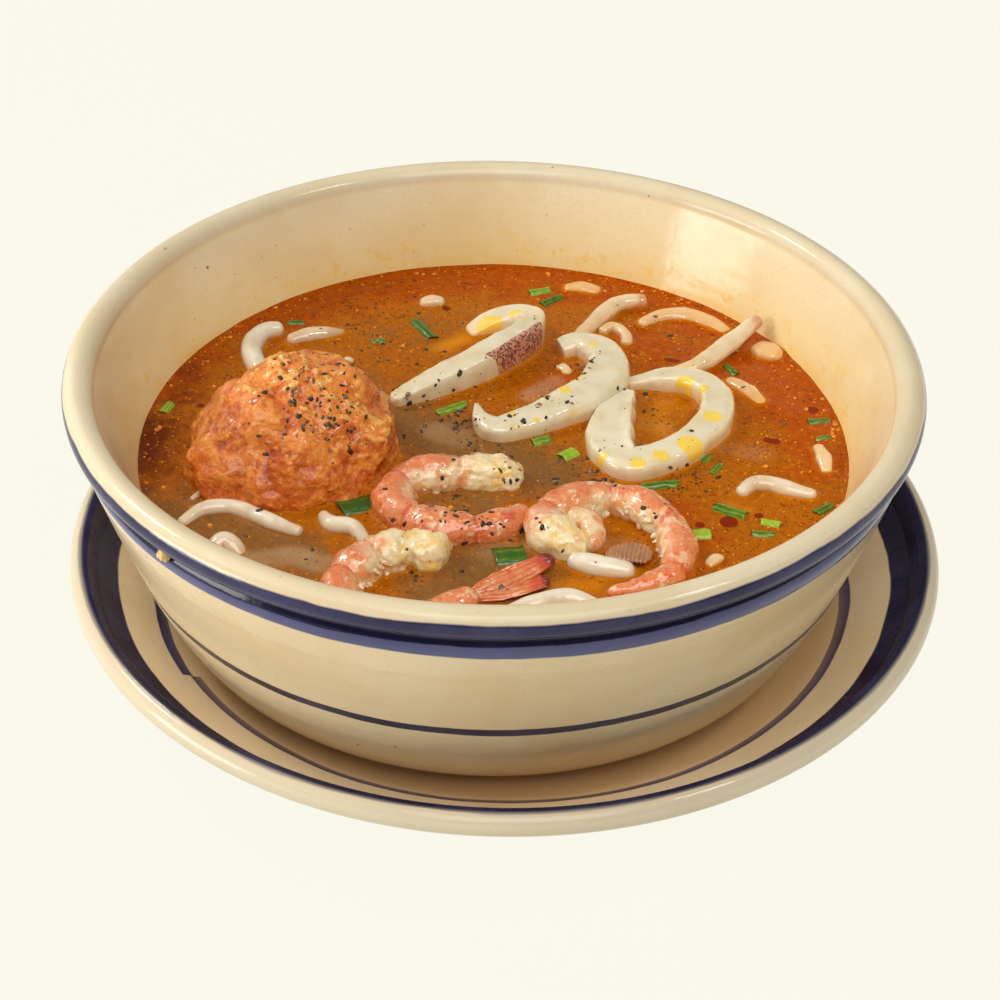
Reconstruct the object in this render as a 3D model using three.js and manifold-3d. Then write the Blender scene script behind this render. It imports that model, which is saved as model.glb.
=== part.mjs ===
// A bowl of seafood noodle soup, standing on its matching plate.
//
// Millimetres, +Z up. The origin is the centre of the plate's foot, on the surface that
// it stands on. The food is laid out from the bowl's axis: x to the right, y to the back,
// z above the level of the soup.

import * as THREE from 'three';
import { mergeVertices } from 'three/addons/utils/BufferGeometryUtils.js';
import Module from 'manifold-3d';

const wasm = await Module();
wasm.setup();

// ---------------------------------------------------------------- driving dimensions

const GAP = 0.3; // clearance between pieces that touch
const ROUND_STEPS = 44; // facets round the bowl and the plate
const SEED = 41; // for the meatball's rough surface
const ROUGHNESS = 2.2; // height of its widest waves, over their pitch

const PLATE = {
  lipRadius: 106,
  lipZ: 29.4,
  lipBead: 3,
  wellZ: 8.7,
  wellRadius: 62,
  footRadius: 58,
  footWidth: 6,
  underZ: 3.7,
};

const BOWL = {
  x: -3, // stands a little to the left on its plate
  footZ: PLATE.wellZ + GAP,
  footRadius: 56.4,
  footWidth: 5.4,
  underZ: 12.6,
  floorZ: 18,
  rimRadius: 100,
  rimZ: 81,
  rimBead: 3.57,
  grooveRadius: 96.5,
};

const SOUP_LEVEL = 55.4; // above the plate's foot

const NOODLE = 5; // thickness of a thick rice noodle
const SHRIMP = 10.4; // thickness of a peeled shrimp behind its head
const SHRIMP_SEGMENTS = 5;
const MEATBALL = { at: [-47, -7.4, 1], radii: [24.2, 21.6, 21] };

// ---------------------------------------------------------------- finishes

const finish = (color, roughness) => new THREE.MeshStandardMaterial({ color, roughness, metalness: 0 });

const FINISH = {
  glaze: finish(0xd9cba8, 0.25),
  soup: finish(0xb5702a, 0.15),
  meatball: finish(0xc4764a, 0.5),
  squid: finish(0xeee6d2, 0.35),
  shrimp: finish(0xe59a7c, 0.35),
  noodle: finish(0xe9e2d2, 0.3),
  shell: finish(0xb99c8a, 0.3),
};

// ---------------------------------------------------------------- closed meshes

/** Merges a geometry's shared corners, drops flat triangles and turns its faces outwards. */
function closed(geometry) {
  geometry.deleteAttribute('normal');
  geometry.deleteAttribute('uv');
  const merged = mergeVertices(geometry);
  const index = merged.index.array;
  const kept = [];
  for (let i = 0; i < index.length; i += 3) {
    const [a, b, c] = [index[i], index[i + 1], index[i + 2]];
    if (a !== b && b !== c && c !== a) kept.push(a, b, c);
  }
  merged.setIndex(volumeOf(merged.attributes.position, kept) > 0 ? kept : kept.reverse());
  return merged;
}

/** The signed volume that a list of triangles encloses. */
function volumeOf(position, index) {
  const [a, b, c] = [new THREE.Vector3(), new THREE.Vector3(), new THREE.Vector3()];
  let volume = 0;
  for (let i = 0; i < index.length; i += 3) {
    a.fromBufferAttribute(position, index[i]);
    b.fromBufferAttribute(position, index[i + 1]);
    c.fromBufferAttribute(position, index[i + 2]);
    volume += a.dot(b.cross(c)) / 6;
  }
  return volume;
}

/** A closed geometry as a solid that can be joined and cut. */
function solid(geometry) {
  const { attributes, index } = closed(geometry);
  return new wasm.Manifold(new wasm.Mesh({
    numProp: 3,
    vertProperties: new Float32Array(attributes.position.array),
    triVerts: new Uint32Array(index.array),
  }));
}

/** A solid's biggest piece as a geometry; scraps that a cut left loose are dropped. */
function geometryOf(body) {
  const pieces = body.decompose().sort((a, b) => b.volume() - a.volume());
  const mesh = pieces[0].getMesh();
  const geometry = new THREE.BufferGeometry();
  geometry.setAttribute('position', new THREE.BufferAttribute(new Float32Array(mesh.vertProperties), 3));
  geometry.setIndex(Array.from(mesh.triVerts));
  geometry.computeVertexNormals();
  return geometry;
}

// ---------------------------------------------------------------- turned pottery

/** Points of a round edge; angles in degrees, 0 outwards and 90 up. */
function arc([r, z], radius, from, to, steps) {
  const points = [];
  for (let i = 0; i <= steps; i += 1) {
    const angle = THREE.MathUtils.degToRad(THREE.MathUtils.lerp(from, to, i / steps));
    points.push([r + radius * Math.cos(angle), z + radius * Math.sin(angle)]);
  }
  return points;
}

/** Points of a smooth wall through a few places. */
function wall(places, steps) {
  const curve = new THREE.SplineCurve(places.map(([r, z]) => new THREE.Vector2(r, z)));
  return curve.getPoints(steps).map((p) => [p.x, p.y]);
}

/** A profile of [radius, height] points, turned about the vertical axis. */
function turned(profile) {
  const points = profile.map(([r, z]) => new THREE.Vector2(r, z));
  return new THREE.LatheGeometry(points, ROUND_STEPS).rotateX(Math.PI / 2);
}

function plateProfile() {
  const p = PLATE;
  const bead = [p.lipRadius - p.lipBead, p.lipZ];
  return [
    [0, p.underZ],
    [p.footRadius - p.footWidth - 1, p.underZ],
    [p.footRadius - p.footWidth, 0],
    [p.footRadius, 0],
    [p.footRadius + 1.4, p.underZ - 0.2],
    ...wall([[64, 4.2], [76, 8.2], [92, 17.6], [102.4, 25.6]], 3),
    ...arc(bead, p.lipBead, -45, 135, 4),
    ...wall([[99.4, 27.7], [94.8, 24], [84.8, 17.6], [74, 11.4], [p.wellRadius, p.wellZ]], 4),
    [0, p.wellZ],
  ];
}

/** The bowl's inner wall from under the rim down to the floor's centre, drawn in by inset. */
function innerWall(inset) {
  const places = [[92.8, 77.2], [88.9, 67], [84.3, 55.4], [78.2, 40], [69, 27], [54, 20], [36, BOWL.floorZ]];
  const points = wall(places.map(([r, z]) => [r - inset, z]), 5);
  points.push([0, BOWL.floorZ]);
  return points.map(([r, z]) => [r, z + (z < SOUP_LEVEL - 10 ? inset : 0)]);
}

function bowlProfile() {
  const b = BOWL;
  const bead = [b.rimRadius - b.rimBead, b.rimZ - b.rimBead];
  return [
    [0, b.underZ],
    [b.footRadius - b.footWidth - 1, b.underZ],
    [b.footRadius - b.footWidth, b.footZ],
    [b.footRadius, b.footZ],
    [b.footRadius + 1, b.underZ - 0.6],
    ...wall([[66, 12.7], [74, 16.2], [79.4, 21], [85.8, 34], [89, 43], [93.3, 56], [97.2, 69]], 5),
    [97.5, 71.6],
    [b.grooveRadius, 72.8],
    [b.grooveRadius, 74],
    ...arc(bead, b.rimBead, -45, 180, 5),
    ...innerWall(0),
  ];
}

// ---------------------------------------------------------------- food

/** A size that changes evenly through the given values as u goes from 0 to 1. */
const sizes = (...values) => (u) => {
  const place = Math.min(u, 0.9999) * (values.length - 1);
  const i = Math.floor(place);
  return THREE.MathUtils.lerp(values[i], values[i + 1], place - i);
};

/**
 * A long body along a route of [x, y, z] places, with blunt round ends.
 * width and height are functions of u; square is 2 for an oval section, more for a boxy one;
 * blunt is the length of the round ends in widths; grow makes it fatter all round.
 */
function longBody({ route, width, height, around = 8, along = 12, square = 2, blunt = 0.4 }, grow) {
  const curve = new THREE.CatmullRomCurve3(route.map((p) => new THREE.Vector3(...p)), false, 'centripetal');
  const length = curve.getLength();
  const cap = Math.min(width(0), width(1)) * blunt;
  const shoulder = around < 8 ? [] : [[cap * 0.25, 0.68]]; // slim pieces end in a plain cone
  const stations = [[-grow, 0], ...shoulder];
  for (let i = 0; i <= along; i += 1) stations.push([THREE.MathUtils.lerp(cap, length - cap, i / along), 1]);
  for (const [reach, fullness] of shoulder) stations.push([length - reach, fullness]);
  stations.push([length + grow, 0]);

  const body = new THREE.SphereGeometry(1, around, stations.length - 1);
  const position = body.attributes.position;
  const up = new THREE.Vector3(0, 0, 1);
  const v = new THREE.Vector3();
  for (let i = 0; i < position.count; i += 1) {
    v.fromBufferAttribute(position, i);
    const ring = Math.round((Math.acos(THREE.MathUtils.clamp(v.y, -1, 1)) / Math.PI) * (stations.length - 1));
    const [reach, fullness] = stations[ring];
    const u = THREE.MathUtils.clamp(reach / length, 0, 1);
    const centre = curve.getPointAt(u);
    const forward = curve.getTangentAt(u);
    centre.addScaledVector(forward, reach - u * length);
    const side = forward.clone().cross(up).normalize();
    const top = side.clone().cross(forward);
    const angle = Math.atan2(v.z, v.x);
    const rounded = (t) => Math.sign(t) * Math.abs(t) ** (2 / square);
    const across = (width(u) / 2 + grow) * fullness * rounded(Math.cos(angle));
    const rise = (height(u) / 2 + grow) * fullness * rounded(Math.sin(angle));
    centre.addScaledVector(side, across);
    centre.addScaledVector(top, rise);
    position.setXYZ(i, centre.x, centre.y, centre.z);
  }
  return body;
}

/** A soft noodle of even thickness. */
const noodle = (route, thickness = NOODLE, along = 6) => (grow) => {
  const size = () => thickness;
  return solid(longBody({ route, width: size, height: size, around: 6, along }, grow));
};

/** A piece cut from a squid's body: a band with a boxy section. */
const squid = (shape) => (grow) => solid(longBody({ square: 3, ...shape }, grow));

/** Pieces grown into one. */
const joined = (first, second) => (grow) => first(grow).add(second(grow));

/** A peeled shrimp: a fat round body whose segments swell, thinner to the tail. */
const shrimp = (route, thickness, along = 15) => (grow) => {
  const swell = (u) => 1 - 0.07 * Math.cos(2 * Math.PI * SHRIMP_SEGMENTS * u);
  const size = (u) => thickness(u) * swell(u);
  return solid(longBody({ route, width: size, height: size, around: 8, along, blunt: 0.5 }, grow));
};

/** Repeatable numbers from 0 to 1. */
function draws(seed) {
  let state = seed;
  return () => {
    state = (state * 16807) % 2147483647;
    return state / 2147483647;
  };
}

/** The rough hand-shaped meatball: waves at random slants, with a fold and a torn lump. */
function meatball(grow) {
  const draw = draws(SEED);
  const waves = Array.from({ length: 14 }, () => ({
    slant: new THREE.Vector3(draw() - 0.5, draw() - 0.5, draw() - 0.5).normalize(),
    pitch: 3 + 9 * draw(),
    start: 6.28 * draw(),
  }));
  const knobs = [
    { toward: new THREE.Vector3(-0.74, -0.62, 0.1).normalize(), height: 2.6, spread: 0.22 },
    { toward: new THREE.Vector3(0.45, 0.3, 0.84).normalize(), height: 1.4, spread: 0.35 },
  ];
  const ball = new THREE.IcosahedronGeometry(1, 5);
  const position = ball.attributes.position;
  const v = new THREE.Vector3();
  for (let i = 0; i < position.count; i += 1) {
    v.fromBufferAttribute(position, i).normalize();
    let swell = 0;
    for (const { slant, pitch, start } of waves) swell += (ROUGHNESS / pitch) * Math.sin(pitch * v.dot(slant) + start);
    for (const { toward, height, spread } of knobs) {
      swell += height * Math.exp(-((1 - v.dot(toward)) / (spread * spread)));
    }
    const [a, b, c] = MEATBALL.radii.map((radius) => radius + swell + grow);
    position.setXYZ(i, MEATBALL.at[0] + a * v.x, MEATBALL.at[1] + b * v.y, MEATBALL.at[2] + c * v.z);
  }
  return solid(ball);
}

/** A shrimp's last segments with two tail blades spread from them. */
function shrimpTail(grow) {
  const body = shrimp([[-19, -69, -5], [-12, -65.5, -1.5], [-3, -60.5, 1]], sizes(9, 8, 5.5), 6)(grow);
  const blades = [
    [[-4, -61, 1.2], [4, -56, 2], [13.4, -49, 2.6]],
    [[-4, -61.5, 0.8], [4, -59, 1.4], [12.6, -56.4, 1.8]],
  ];
  return blades.reduce((whole, route) => whole.add(solid(longBody({
    route, width: sizes(3, 5.4, 4.6), height: () => 2, around: 6, along: 4, blunt: 0.5,
  }, grow))), body);
}

// Every piece that rides above the soup. A piece is cut back from those before it.
const PIECES = [
  ['meatball', 'meatball', meatball],
  ['squid_loop', 'squid', squid({
    route: [
      [31.4, 17.4, 1.6], [27.6, 5, 1], [27.4, -6, 0.5], [32, -11.8, 0.5], [39, -9.6, 0.6],
      [47.6, -2.4, 0.8], [53.6, 8, 1], [53.8, 19, 1], [48.4, 24.8, 1], [40.4, 25.6, 0.6], [34.6, 24.6, 0],
    ],
    width: sizes(4, 9.5, 9.6, 8.4, 8, 8, 8.2, 8.4, 7.6, 6.4, 4),
    height: sizes(6, 8.4, 8.6, 8.2, 8, 8, 8, 8, 7.6, 7, 6),
    along: 16,
  })],
  ['squid_hook', 'squid', joined(
    squid({
      route: [
        [-1.6, 1.4, 1], [7.6, 5, 0.8], [17, 11.4, 1], [25.4, 19, 1.2],
        [28.4, 28.6, 1.4], [26.6, 38, 1.2], [21.4, 42, 0.8], [16.6, 40.6, 0],
      ],
      width: sizes(8.4, 8.4, 9, 10.4, 11, 10, 8.4, 6.4),
      height: sizes(8.4, 8, 8.4, 9, 9, 8.4, 7.6, 6.6),
      along: 13,
    }),
    squid({
      route: [[-3.4, 9.4, 1.6], [-1.6, 4.4, 1.4], [1, -0.4, 1.2]],
      width: sizes(3.4, 4.6, 4.6),
      height: sizes(4.4, 6, 6),
      around: 6,
      along: 3,
    }),
  )],
  ['squid_strip', 'squid', squid({
    route: [
      [-25.4, 14.8, 1], [-16, 20.8, 1.6], [-6.2, 27.6, 2], [2.8, 36, 2.4],
      [8.4, 43.2, 2.6], [9.2, 48.8, 2.4], [5.8, 52.8, 1.6], [-0.6, 52.4, 0.4], [-7, 49.6, -1.8],
    ],
    width: sizes(5, 6.4, 7.2, 7.8, 7.6, 6.6, 6, 6, 5),
    height: sizes(4.6, 6.4, 7.4, 8.4, 9.4, 8.6, 7.4, 6.6, 5.4),
    along: 14,
  })],
  ['shrimp_middle', 'shrimp', shrimp([
    [21.8, -44, 0.2], [15.6, -42, 1.4], [11.8, -36.8, 1.8], [15.4, -30.4, 1.8], [23.6, -26.6, 1.8],
    [33, -28.8, 1.8], [39.6, -36.6, 1.8], [41.2, -46.6, 1.4], [39, -53.4, 1], [32, -57.4, 1], [25, -59.6, 0.8],
  ], sizes(8.4, 10.6, SHRIMP, 9.4, 9, 9, 9, 8.6, 7.6, 4.4, 2.6))],
  ['shrimp_left', 'shrimp', shrimp([
    [7.2, -17, 1.2], [-2, -16.2, 1.4], [-12.4, -16.6, 1.4], [-20.2, -19.8, 1.4], [-23.2, -26.4, 1.2],
    [-20.2, -33, 1.2], [-13, -37.4, 1.4], [-3.6, -38.2, 1.4], [3.4, -35, 1], [8.4, -30.4, 0.6],
  ], sizes(7.6, 9.6, SHRIMP, 10, 9.6, 9.6, 9.4, 8.8, 8, 6.4))],
  ['shrimp_front', 'shrimp', shrimp([
    [-10, -49.6, 1.6], [-15.6, -46.8, 1.8], [-23.4, -47.8, 1.6], [-30, -53, 1.4], [-33.4, -60, 1],
    [-31.6, -67, 0], [-26, -71, -1.6],
  ], sizes(9.4, SHRIMP, SHRIMP, 10, 9.2, 8, 6))],
  ['shrimp_tail', 'shrimp', shrimpTail],
  ['tentacle_left', 'squid', squid({
    route: [[17, 40.4, -1.4], [24.2, 52, 0.6], [32.4, 63, 1.4], [40, 65.4, 1]],
    width: sizes(2.4, 3.8, 4.2, 4.2),
    height: sizes(2.4, 3.8, 4.2, 4),
    square: 2,
    along: 6,
  })],
  ['tentacle_right', 'squid', squid({
    route: [[43, 31, -0.6], [51.6, 33.6, 1.4], [59, 41, 2.6], [68, 49.4, 5.8]],
    width: sizes(3, 4.6, 4.6, 3.2),
    height: sizes(3, 4.4, 4.4, 3.2),
    square: 2,
    along: 6,
  })],
  ['squid_shred', 'squid', squid({
    route: [[58.4, 28.8, 0.4], [63, 23.6, 0.4], [66.6, 17.6, -0.2]],
    width: sizes(3, 4.4, 3),
    height: sizes(1.8, 2.2, 1.8),
    square: 2,
    along: 5,
  })],
  ['squid_crescent', 'squid', squid({
    route: [[37.6, 54.6, 0], [43.4, 58.8, 0.3], [50, 59.6, 0.3], [56, 56.6, 0.1], [60.6, 51.6, -0.5]],
    width: sizes(2.6, 4.6, 5.4, 5.2, 3.6),
    height: sizes(2.6, 3.4, 3.6, 3.4, 2.6),
    square: 2,
    along: 6,
  })],
  ['squid_curl', 'squid', squid({
    route: [[27, 50, 0], [30.4, 51.6, 1], [33.4, 48.6, 0.8], [34, 44, 0]],
    width: () => 3.2,
    height: () => 3.2,
    square: 2,
    around: 6,
    along: 6,
  })],
  ['squid_lump_right', 'squid', squid({
    route: [[66.4, 44.6, 0], [70, 41, 0.4], [73, 38.4, 0]],
    width: sizes(5, 7, 5),
    height: sizes(3.6, 4.2, 3.6),
    around: 6,
    along: 4,
  })],
  ['squid_lump_back', 'squid', squid({
    route: [[18, 73.6, -0.6], [23, 73.4, 0], [28, 71.4, -0.6]],
    width: sizes(3.6, 5, 3.6),
    height: sizes(3, 3.6, 3),
    around: 6,
    along: 4,
  })],
  ['squid_bit', 'squid', squid({
    route: [[-20, 63.4, 0], [-16.6, 64.2, 0.6], [-13.4, 64.2, 0]],
    width: sizes(3, 4.4, 3),
    height: sizes(3, 3.6, 3),
    around: 6,
    along: 4,
  })],
  ['squid_leaf', 'squid', squid({
    route: [[77.6, -1, 0], [78.4, -6.4, 0.6], [78.6, -12, -0.4]],
    width: sizes(2.6, 4.2, 2.6),
    height: sizes(3, 3.8, 2.6),
    around: 6,
    along: 4,
  })],
  ['noodle_crook', 'noodle', noodle([
    [-55.6, 24, -0.4], [-60.2, 31.6, 0.8], [-62, 39.4, 1.2], [-59.6, 46.4, 1.4], [-54.6, 48.6, 1.2],
  ], 5.6, 7)],
  ['noodle_back', 'noodle', noodle([[-53.4, 43.6, 0.4], [-47.4, 46.6, 0.4], [-38.6, 50, -1.6]], 4.8, 6)],
  ['noodle_right', 'noodle', noodle([
    [57, -21.6, 0.4], [60.6, -18, 0.8], [65, -17.8, 0.6], [70, -20, 0.5], [75.2, -21.4, 0],
  ], 4.4, 8)],
  ['noodle_middle', 'noodle', noodle([[17.4, -48.2, 0.8], [22, -49.8, 0.8], [31, -51.4, 0.2]], 4.8, 5)],
  ['noodle_rim', 'noodle', noodle([[2.6, -66.4, 0], [10, -63.6, 0.6], [17.4, -61.6, 0.6], [24, -64, -0.4]])],
  ['noodle_arc', 'noodle', noodle([
    [-71, -35.8, 0], [-66.4, -30.6, 0.8], [-60.2, -29.4, 0.8], [-54.2, -32.4, 0.8], [-48.6, -36.2, 1], [-42.8, -38.8, 0.6],
  ], 4.2, 7)],
  ['noodle_left', 'noodle', noodle([[-63.8, -47.4, -1.8], [-60.2, -42.6, 0.8], [-55, -46.4, -1.6]], 4.6, 5)],
  ['noodle_ribbon', 'noodle', noodle([
    [-39, -31, 0.2], [-36.4, -36, 1], [-31.6, -37.2, 1.2], [-28, -41.4, -0.6],
  ], 4.2, 7)],
  ['noodle_strand', 'noodle', noodle([
    [-72.4, -9.6, 0.2], [-69.6, -16, 0.6], [-66.8, -21.6, 0.6], [-69.4, -26.4, 0.4],
  ], 2, 6)],
  ['shell_flake', 'shell', squid({
    route: [[26.6, -46.4, 1.2], [30.4, -46.4, 2], [34.2, -47, 1.8]],
    width: sizes(5, 7, 5),
    height: () => 1.2,
    around: 8,
    along: 4,
  })],
];

// Cut spring onion and small scraps that float and are fused to the soup:
// where each lies, how long and wide it is, and how far it is turned from the x axis.
const FLOATING = [
  { at: [-18.5, 51], length: 10, width: 3.4, turn: -58 },
  { at: [11.8, 71.4], length: 6, width: 3, turn: 20 },
  { at: [14.7, 66.6], length: 6.4, width: 3, turn: 42 },
  { at: [-51.9, 53.7], length: 4.6, width: 2.2, turn: 0 },
  { at: [-30.1, 45.2], length: 3.6, width: 2, turn: 0 },
  { at: [-80.3, 12.5], length: 4, width: 2.8, turn: 70 },
  { at: [-31, -27], length: 9, width: 6.4, turn: 20 },
  { at: [-10.6, 13.8], length: 8, width: 3, turn: 32 },
  { at: [11.3, 0.2], length: 4.6, width: 3.4, turn: 25 },
  { at: [17.7, -5.4], length: 4.4, width: 4, turn: 40 },
  { at: [3.9, -45.4], length: 7, width: 6.6, turn: 10 },
  { at: [39, -17.6], length: 8.4, width: 3, turn: 12 },
  { at: [50.4, -6.6], length: 4, width: 2.2, turn: 50 },
  { at: [52.6, -10.6], length: 4.6, width: 2.2, turn: 62 },
  { at: [59.8, 33.2], length: 4.6, width: 2.4, turn: -60 },
  { at: [79.2, 10.4], length: 5.2, width: 2.6, turn: 12 },
  { at: [79.4, 3.2], length: 3.8, width: 1.8, turn: 14 },
  { at: [54.6, -27.6], length: 7.6, width: 3.4, turn: -28 },
  { at: [47.2, -36.6], length: 4.2, width: 4, turn: 0 },
  { at: [61.2, -36.2], length: 5, width: 2.4, turn: 0 },
  { at: [63.4, -32], length: 4.6, width: 2.6, turn: -20 },
  { at: [76, -26.4], length: 5, width: 2.8, turn: 40 },
  { at: [-37.6, 34.6], length: 3.6, width: 2.8, turn: 40 },
  { at: [17.4, 32.6], length: 4.4, width: 3.4, turn: -60 },
  { at: [49.6, -46.4], length: 5, width: 2.6, turn: 40 },
];
const FLOAT_HEIGHT = 1.1; // how far these stand out of the soup

/** A short slice that lies half sunk in the soup. */
function floating({ at, length, width, turn }) {
  const slice = new THREE.CylinderGeometry(width / 2, width / 2, length, 6).rotateZ(Math.PI / 2);
  slice.scale(1, 1, (2 * FLOAT_HEIGHT) / width);
  slice.rotateZ(THREE.MathUtils.degToRad(turn));
  return solid(slice.translate(at[0], at[1], 0));
}

/** The room inside the bowl, kept clear of its wall, seen from the soup's level. */
function roomInBowl() {
  const profile = [[0, BOWL.rimZ], ...innerWall(GAP)].map(([r, z]) => [r, z - SOUP_LEVEL]);
  return solid(turned(profile));
}

/** The soup up to its level. */
function soupBody(room) {
  const above = new THREE.BoxGeometry(2 * BOWL.rimRadius, 2 * BOWL.rimRadius, BOWL.rimZ);
  return room.subtract(solid(above.translate(0, 0, BOWL.rimZ / 2)));
}

// ---------------------------------------------------------------- the whole

function mesh(name, geometry, material) {
  const piece = new THREE.Mesh(geometry, material);
  piece.name = name;
  return piece;
}

function dishes() {
  const plate = mesh('plate', geometryOf(solid(turned(plateProfile()))), FINISH.glaze);
  const bowl = mesh('bowl', geometryOf(solid(turned(bowlProfile()))), FINISH.glaze);
  bowl.position.x = BOWL.x;
  return [plate, bowl];
}

function contents() {
  const food = new THREE.Group();
  food.position.set(BOWL.x, 0, SOUP_LEVEL);
  const room = roomInBowl();
  let soup = soupBody(room);
  for (const slice of FLOATING) soup = soup.add(floating(slice));
  let taken = null;
  for (const [name, kind, make] of PIECES) {
    let body = make(0).intersect(room);
    if (taken) body = body.subtract(taken);
    food.add(mesh(name, geometryOf(body), FINISH[kind]));
    taken = taken ? taken.add(make(GAP)) : make(GAP);
  }
  soup = soup.intersect(room).subtract(taken);
  food.add(mesh('soup', geometryOf(soup), FINISH.soup));
  return food;
}

const part = new THREE.Group();
part.add(...dishes(), contents());

export default part;
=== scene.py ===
"""The looks of a bowl of seafood noodle soup that stands on its matching plate.

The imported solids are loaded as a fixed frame, and finer pieces stand for them. Sizes are in
millimetres until a piece is set down in the frame, which is in metres. The dishes are
measured from the centre of the plate's foot. The food is measured from the bowl's axis at
the level of the soup: x to the right, y to the back, z up.
"""

import logging
import math
import random
from collections.abc import Callable, Sequence
from dataclasses import dataclass, field
from enum import Enum
from typing import ClassVar

import bmesh
import bpy
import numpy as np
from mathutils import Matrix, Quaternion, Vector, noise
from mathutils.bvhtree import BVHTree


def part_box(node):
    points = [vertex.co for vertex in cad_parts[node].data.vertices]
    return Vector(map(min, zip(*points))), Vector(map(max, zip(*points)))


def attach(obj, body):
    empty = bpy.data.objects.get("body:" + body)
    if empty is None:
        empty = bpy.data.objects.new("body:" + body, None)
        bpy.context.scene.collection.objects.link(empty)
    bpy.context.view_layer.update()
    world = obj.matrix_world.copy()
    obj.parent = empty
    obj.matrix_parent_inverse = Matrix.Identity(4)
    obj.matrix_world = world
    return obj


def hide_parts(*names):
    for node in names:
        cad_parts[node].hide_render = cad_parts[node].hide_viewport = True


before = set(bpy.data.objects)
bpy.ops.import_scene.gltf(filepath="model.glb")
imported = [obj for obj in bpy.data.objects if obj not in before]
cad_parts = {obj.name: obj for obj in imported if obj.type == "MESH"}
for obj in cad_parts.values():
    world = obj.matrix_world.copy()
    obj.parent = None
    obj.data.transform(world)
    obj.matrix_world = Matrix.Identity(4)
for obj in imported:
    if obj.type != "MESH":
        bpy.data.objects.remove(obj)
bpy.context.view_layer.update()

Pair = tuple[float, float]
Place = tuple[float, float, float]
Colour = tuple[float, float, float, float]

MM = 0.001
LOG = logging.getLogger("noodle_soup")

PLATE_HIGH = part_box("plate")[1] / MM
BOWL_LOW, BOWL_HIGH = (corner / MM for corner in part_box("bowl"))
BOWL_X = (BOWL_LOW.x + BOWL_HIGH.x) / 2
SOUP_LEVEL = 55.4
FOOD_ORIGIN = (BOWL_X, 0.0, SOUP_LEVEL)
SOUP_RADIUS = 84.3
STREWN_RADIUS = 80.0

# how the soup climbs the bowl's wall: how high, within what distance, and from where
CLING_RISE, CLING_REACH, CLING_START = 0.8, 0.9, 0.3


def linear(red: int, green: int, blue: int) -> Colour:
    """Gives the shader's colour for one as it looks on a screen.

    Args:
        red: 0 to 255.
        green: 0 to 255.
        blue: 0 to 255.

    Returns:
        The linear colour, with an alpha of 1.
    """
    parts = (part / 255 for part in (red, green, blue))
    return (*(p / 12.92 if p <= 0.04045 else ((p + 0.055) / 1.055) ** 2.4 for p in parts), 1.0)


def ramp(values: np.ndarray, low: float, high: float) -> np.ndarray:
    """Gives a smooth rise from 0 at low to 1 at high, or a fall where low is the higher."""
    share = np.clip((values - low) / (high - low), 0, 1)
    return share * share * (3 - 2 * share)


class Slot(Enum):
    """The material slots."""

    GLAZE = "glaze"
    SOUP = "soup"
    MEATBALL = "meatball"
    SQUID = "squid"
    SHRIMP = "shrimp"
    SHELL = "shell"
    NOODLE = "noodle"


# ---------------------------------------------------------------- shader helpers


class Value:
    """What a node's socket gives. Arithmetic on a number adds Math nodes."""

    def __init__(self, paint: "Paint", socket: bpy.types.NodeSocket) -> None:
        """Wraps an output socket of the paint's tree."""
        self.paint = paint
        self.socket = socket

    def math(self, operation: str, *terms: "Value | float") -> "Value":
        """Adds a Math node on the given terms."""
        return self.paint.value(self.paint.node("Math", {"operation": operation}, dict(enumerate(terms))))

    def __add__(self, other: "Value | float") -> "Value":
        """Adds."""
        return self.math("ADD", self, other)

    __radd__ = __add__

    def __sub__(self, other: "Value | float") -> "Value":
        """Subtracts."""
        return self.math("SUBTRACT", self, other)

    def __rsub__(self, other: "Value | float") -> "Value":
        """Subtracts this from a number."""
        return self.math("SUBTRACT", other, self)

    def __mul__(self, other: "Value | float") -> "Value":
        """Multiplies."""
        return self.math("MULTIPLY", self, other)

    __rmul__ = __mul__

    def __truediv__(self, other: "Value | float") -> "Value":
        """Divides."""
        return self.math("DIVIDE", self, other)

    def __pow__(self, other: "Value | float") -> "Value":
        """Raises to a power."""
        return self.math("POWER", self, other)

    def either(self, other: "Value | float") -> "Value":
        """Gives the greater of the two."""
        return self.math("MAXIMUM", self, other)

    def both(self, other: "Value | float") -> "Value":
        """Gives the lesser of the two."""
        return self.math("MINIMUM", self, other)

    def cosine(self) -> "Value":
        """Gives the cosine of an angle in radians."""
        return self.math("COSINE", self)

    def rise(self, low: float, high: float) -> "Value":
        """Gives a smooth step from 0 at low to 1 at high, or a fall where low is the higher."""
        inputs = {"Value": self, "From Min": low, "From Max": high}
        return self.paint.value(self.paint.node("MapRange", {"interpolation_type": "SMOOTHSTEP"}, inputs))


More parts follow.
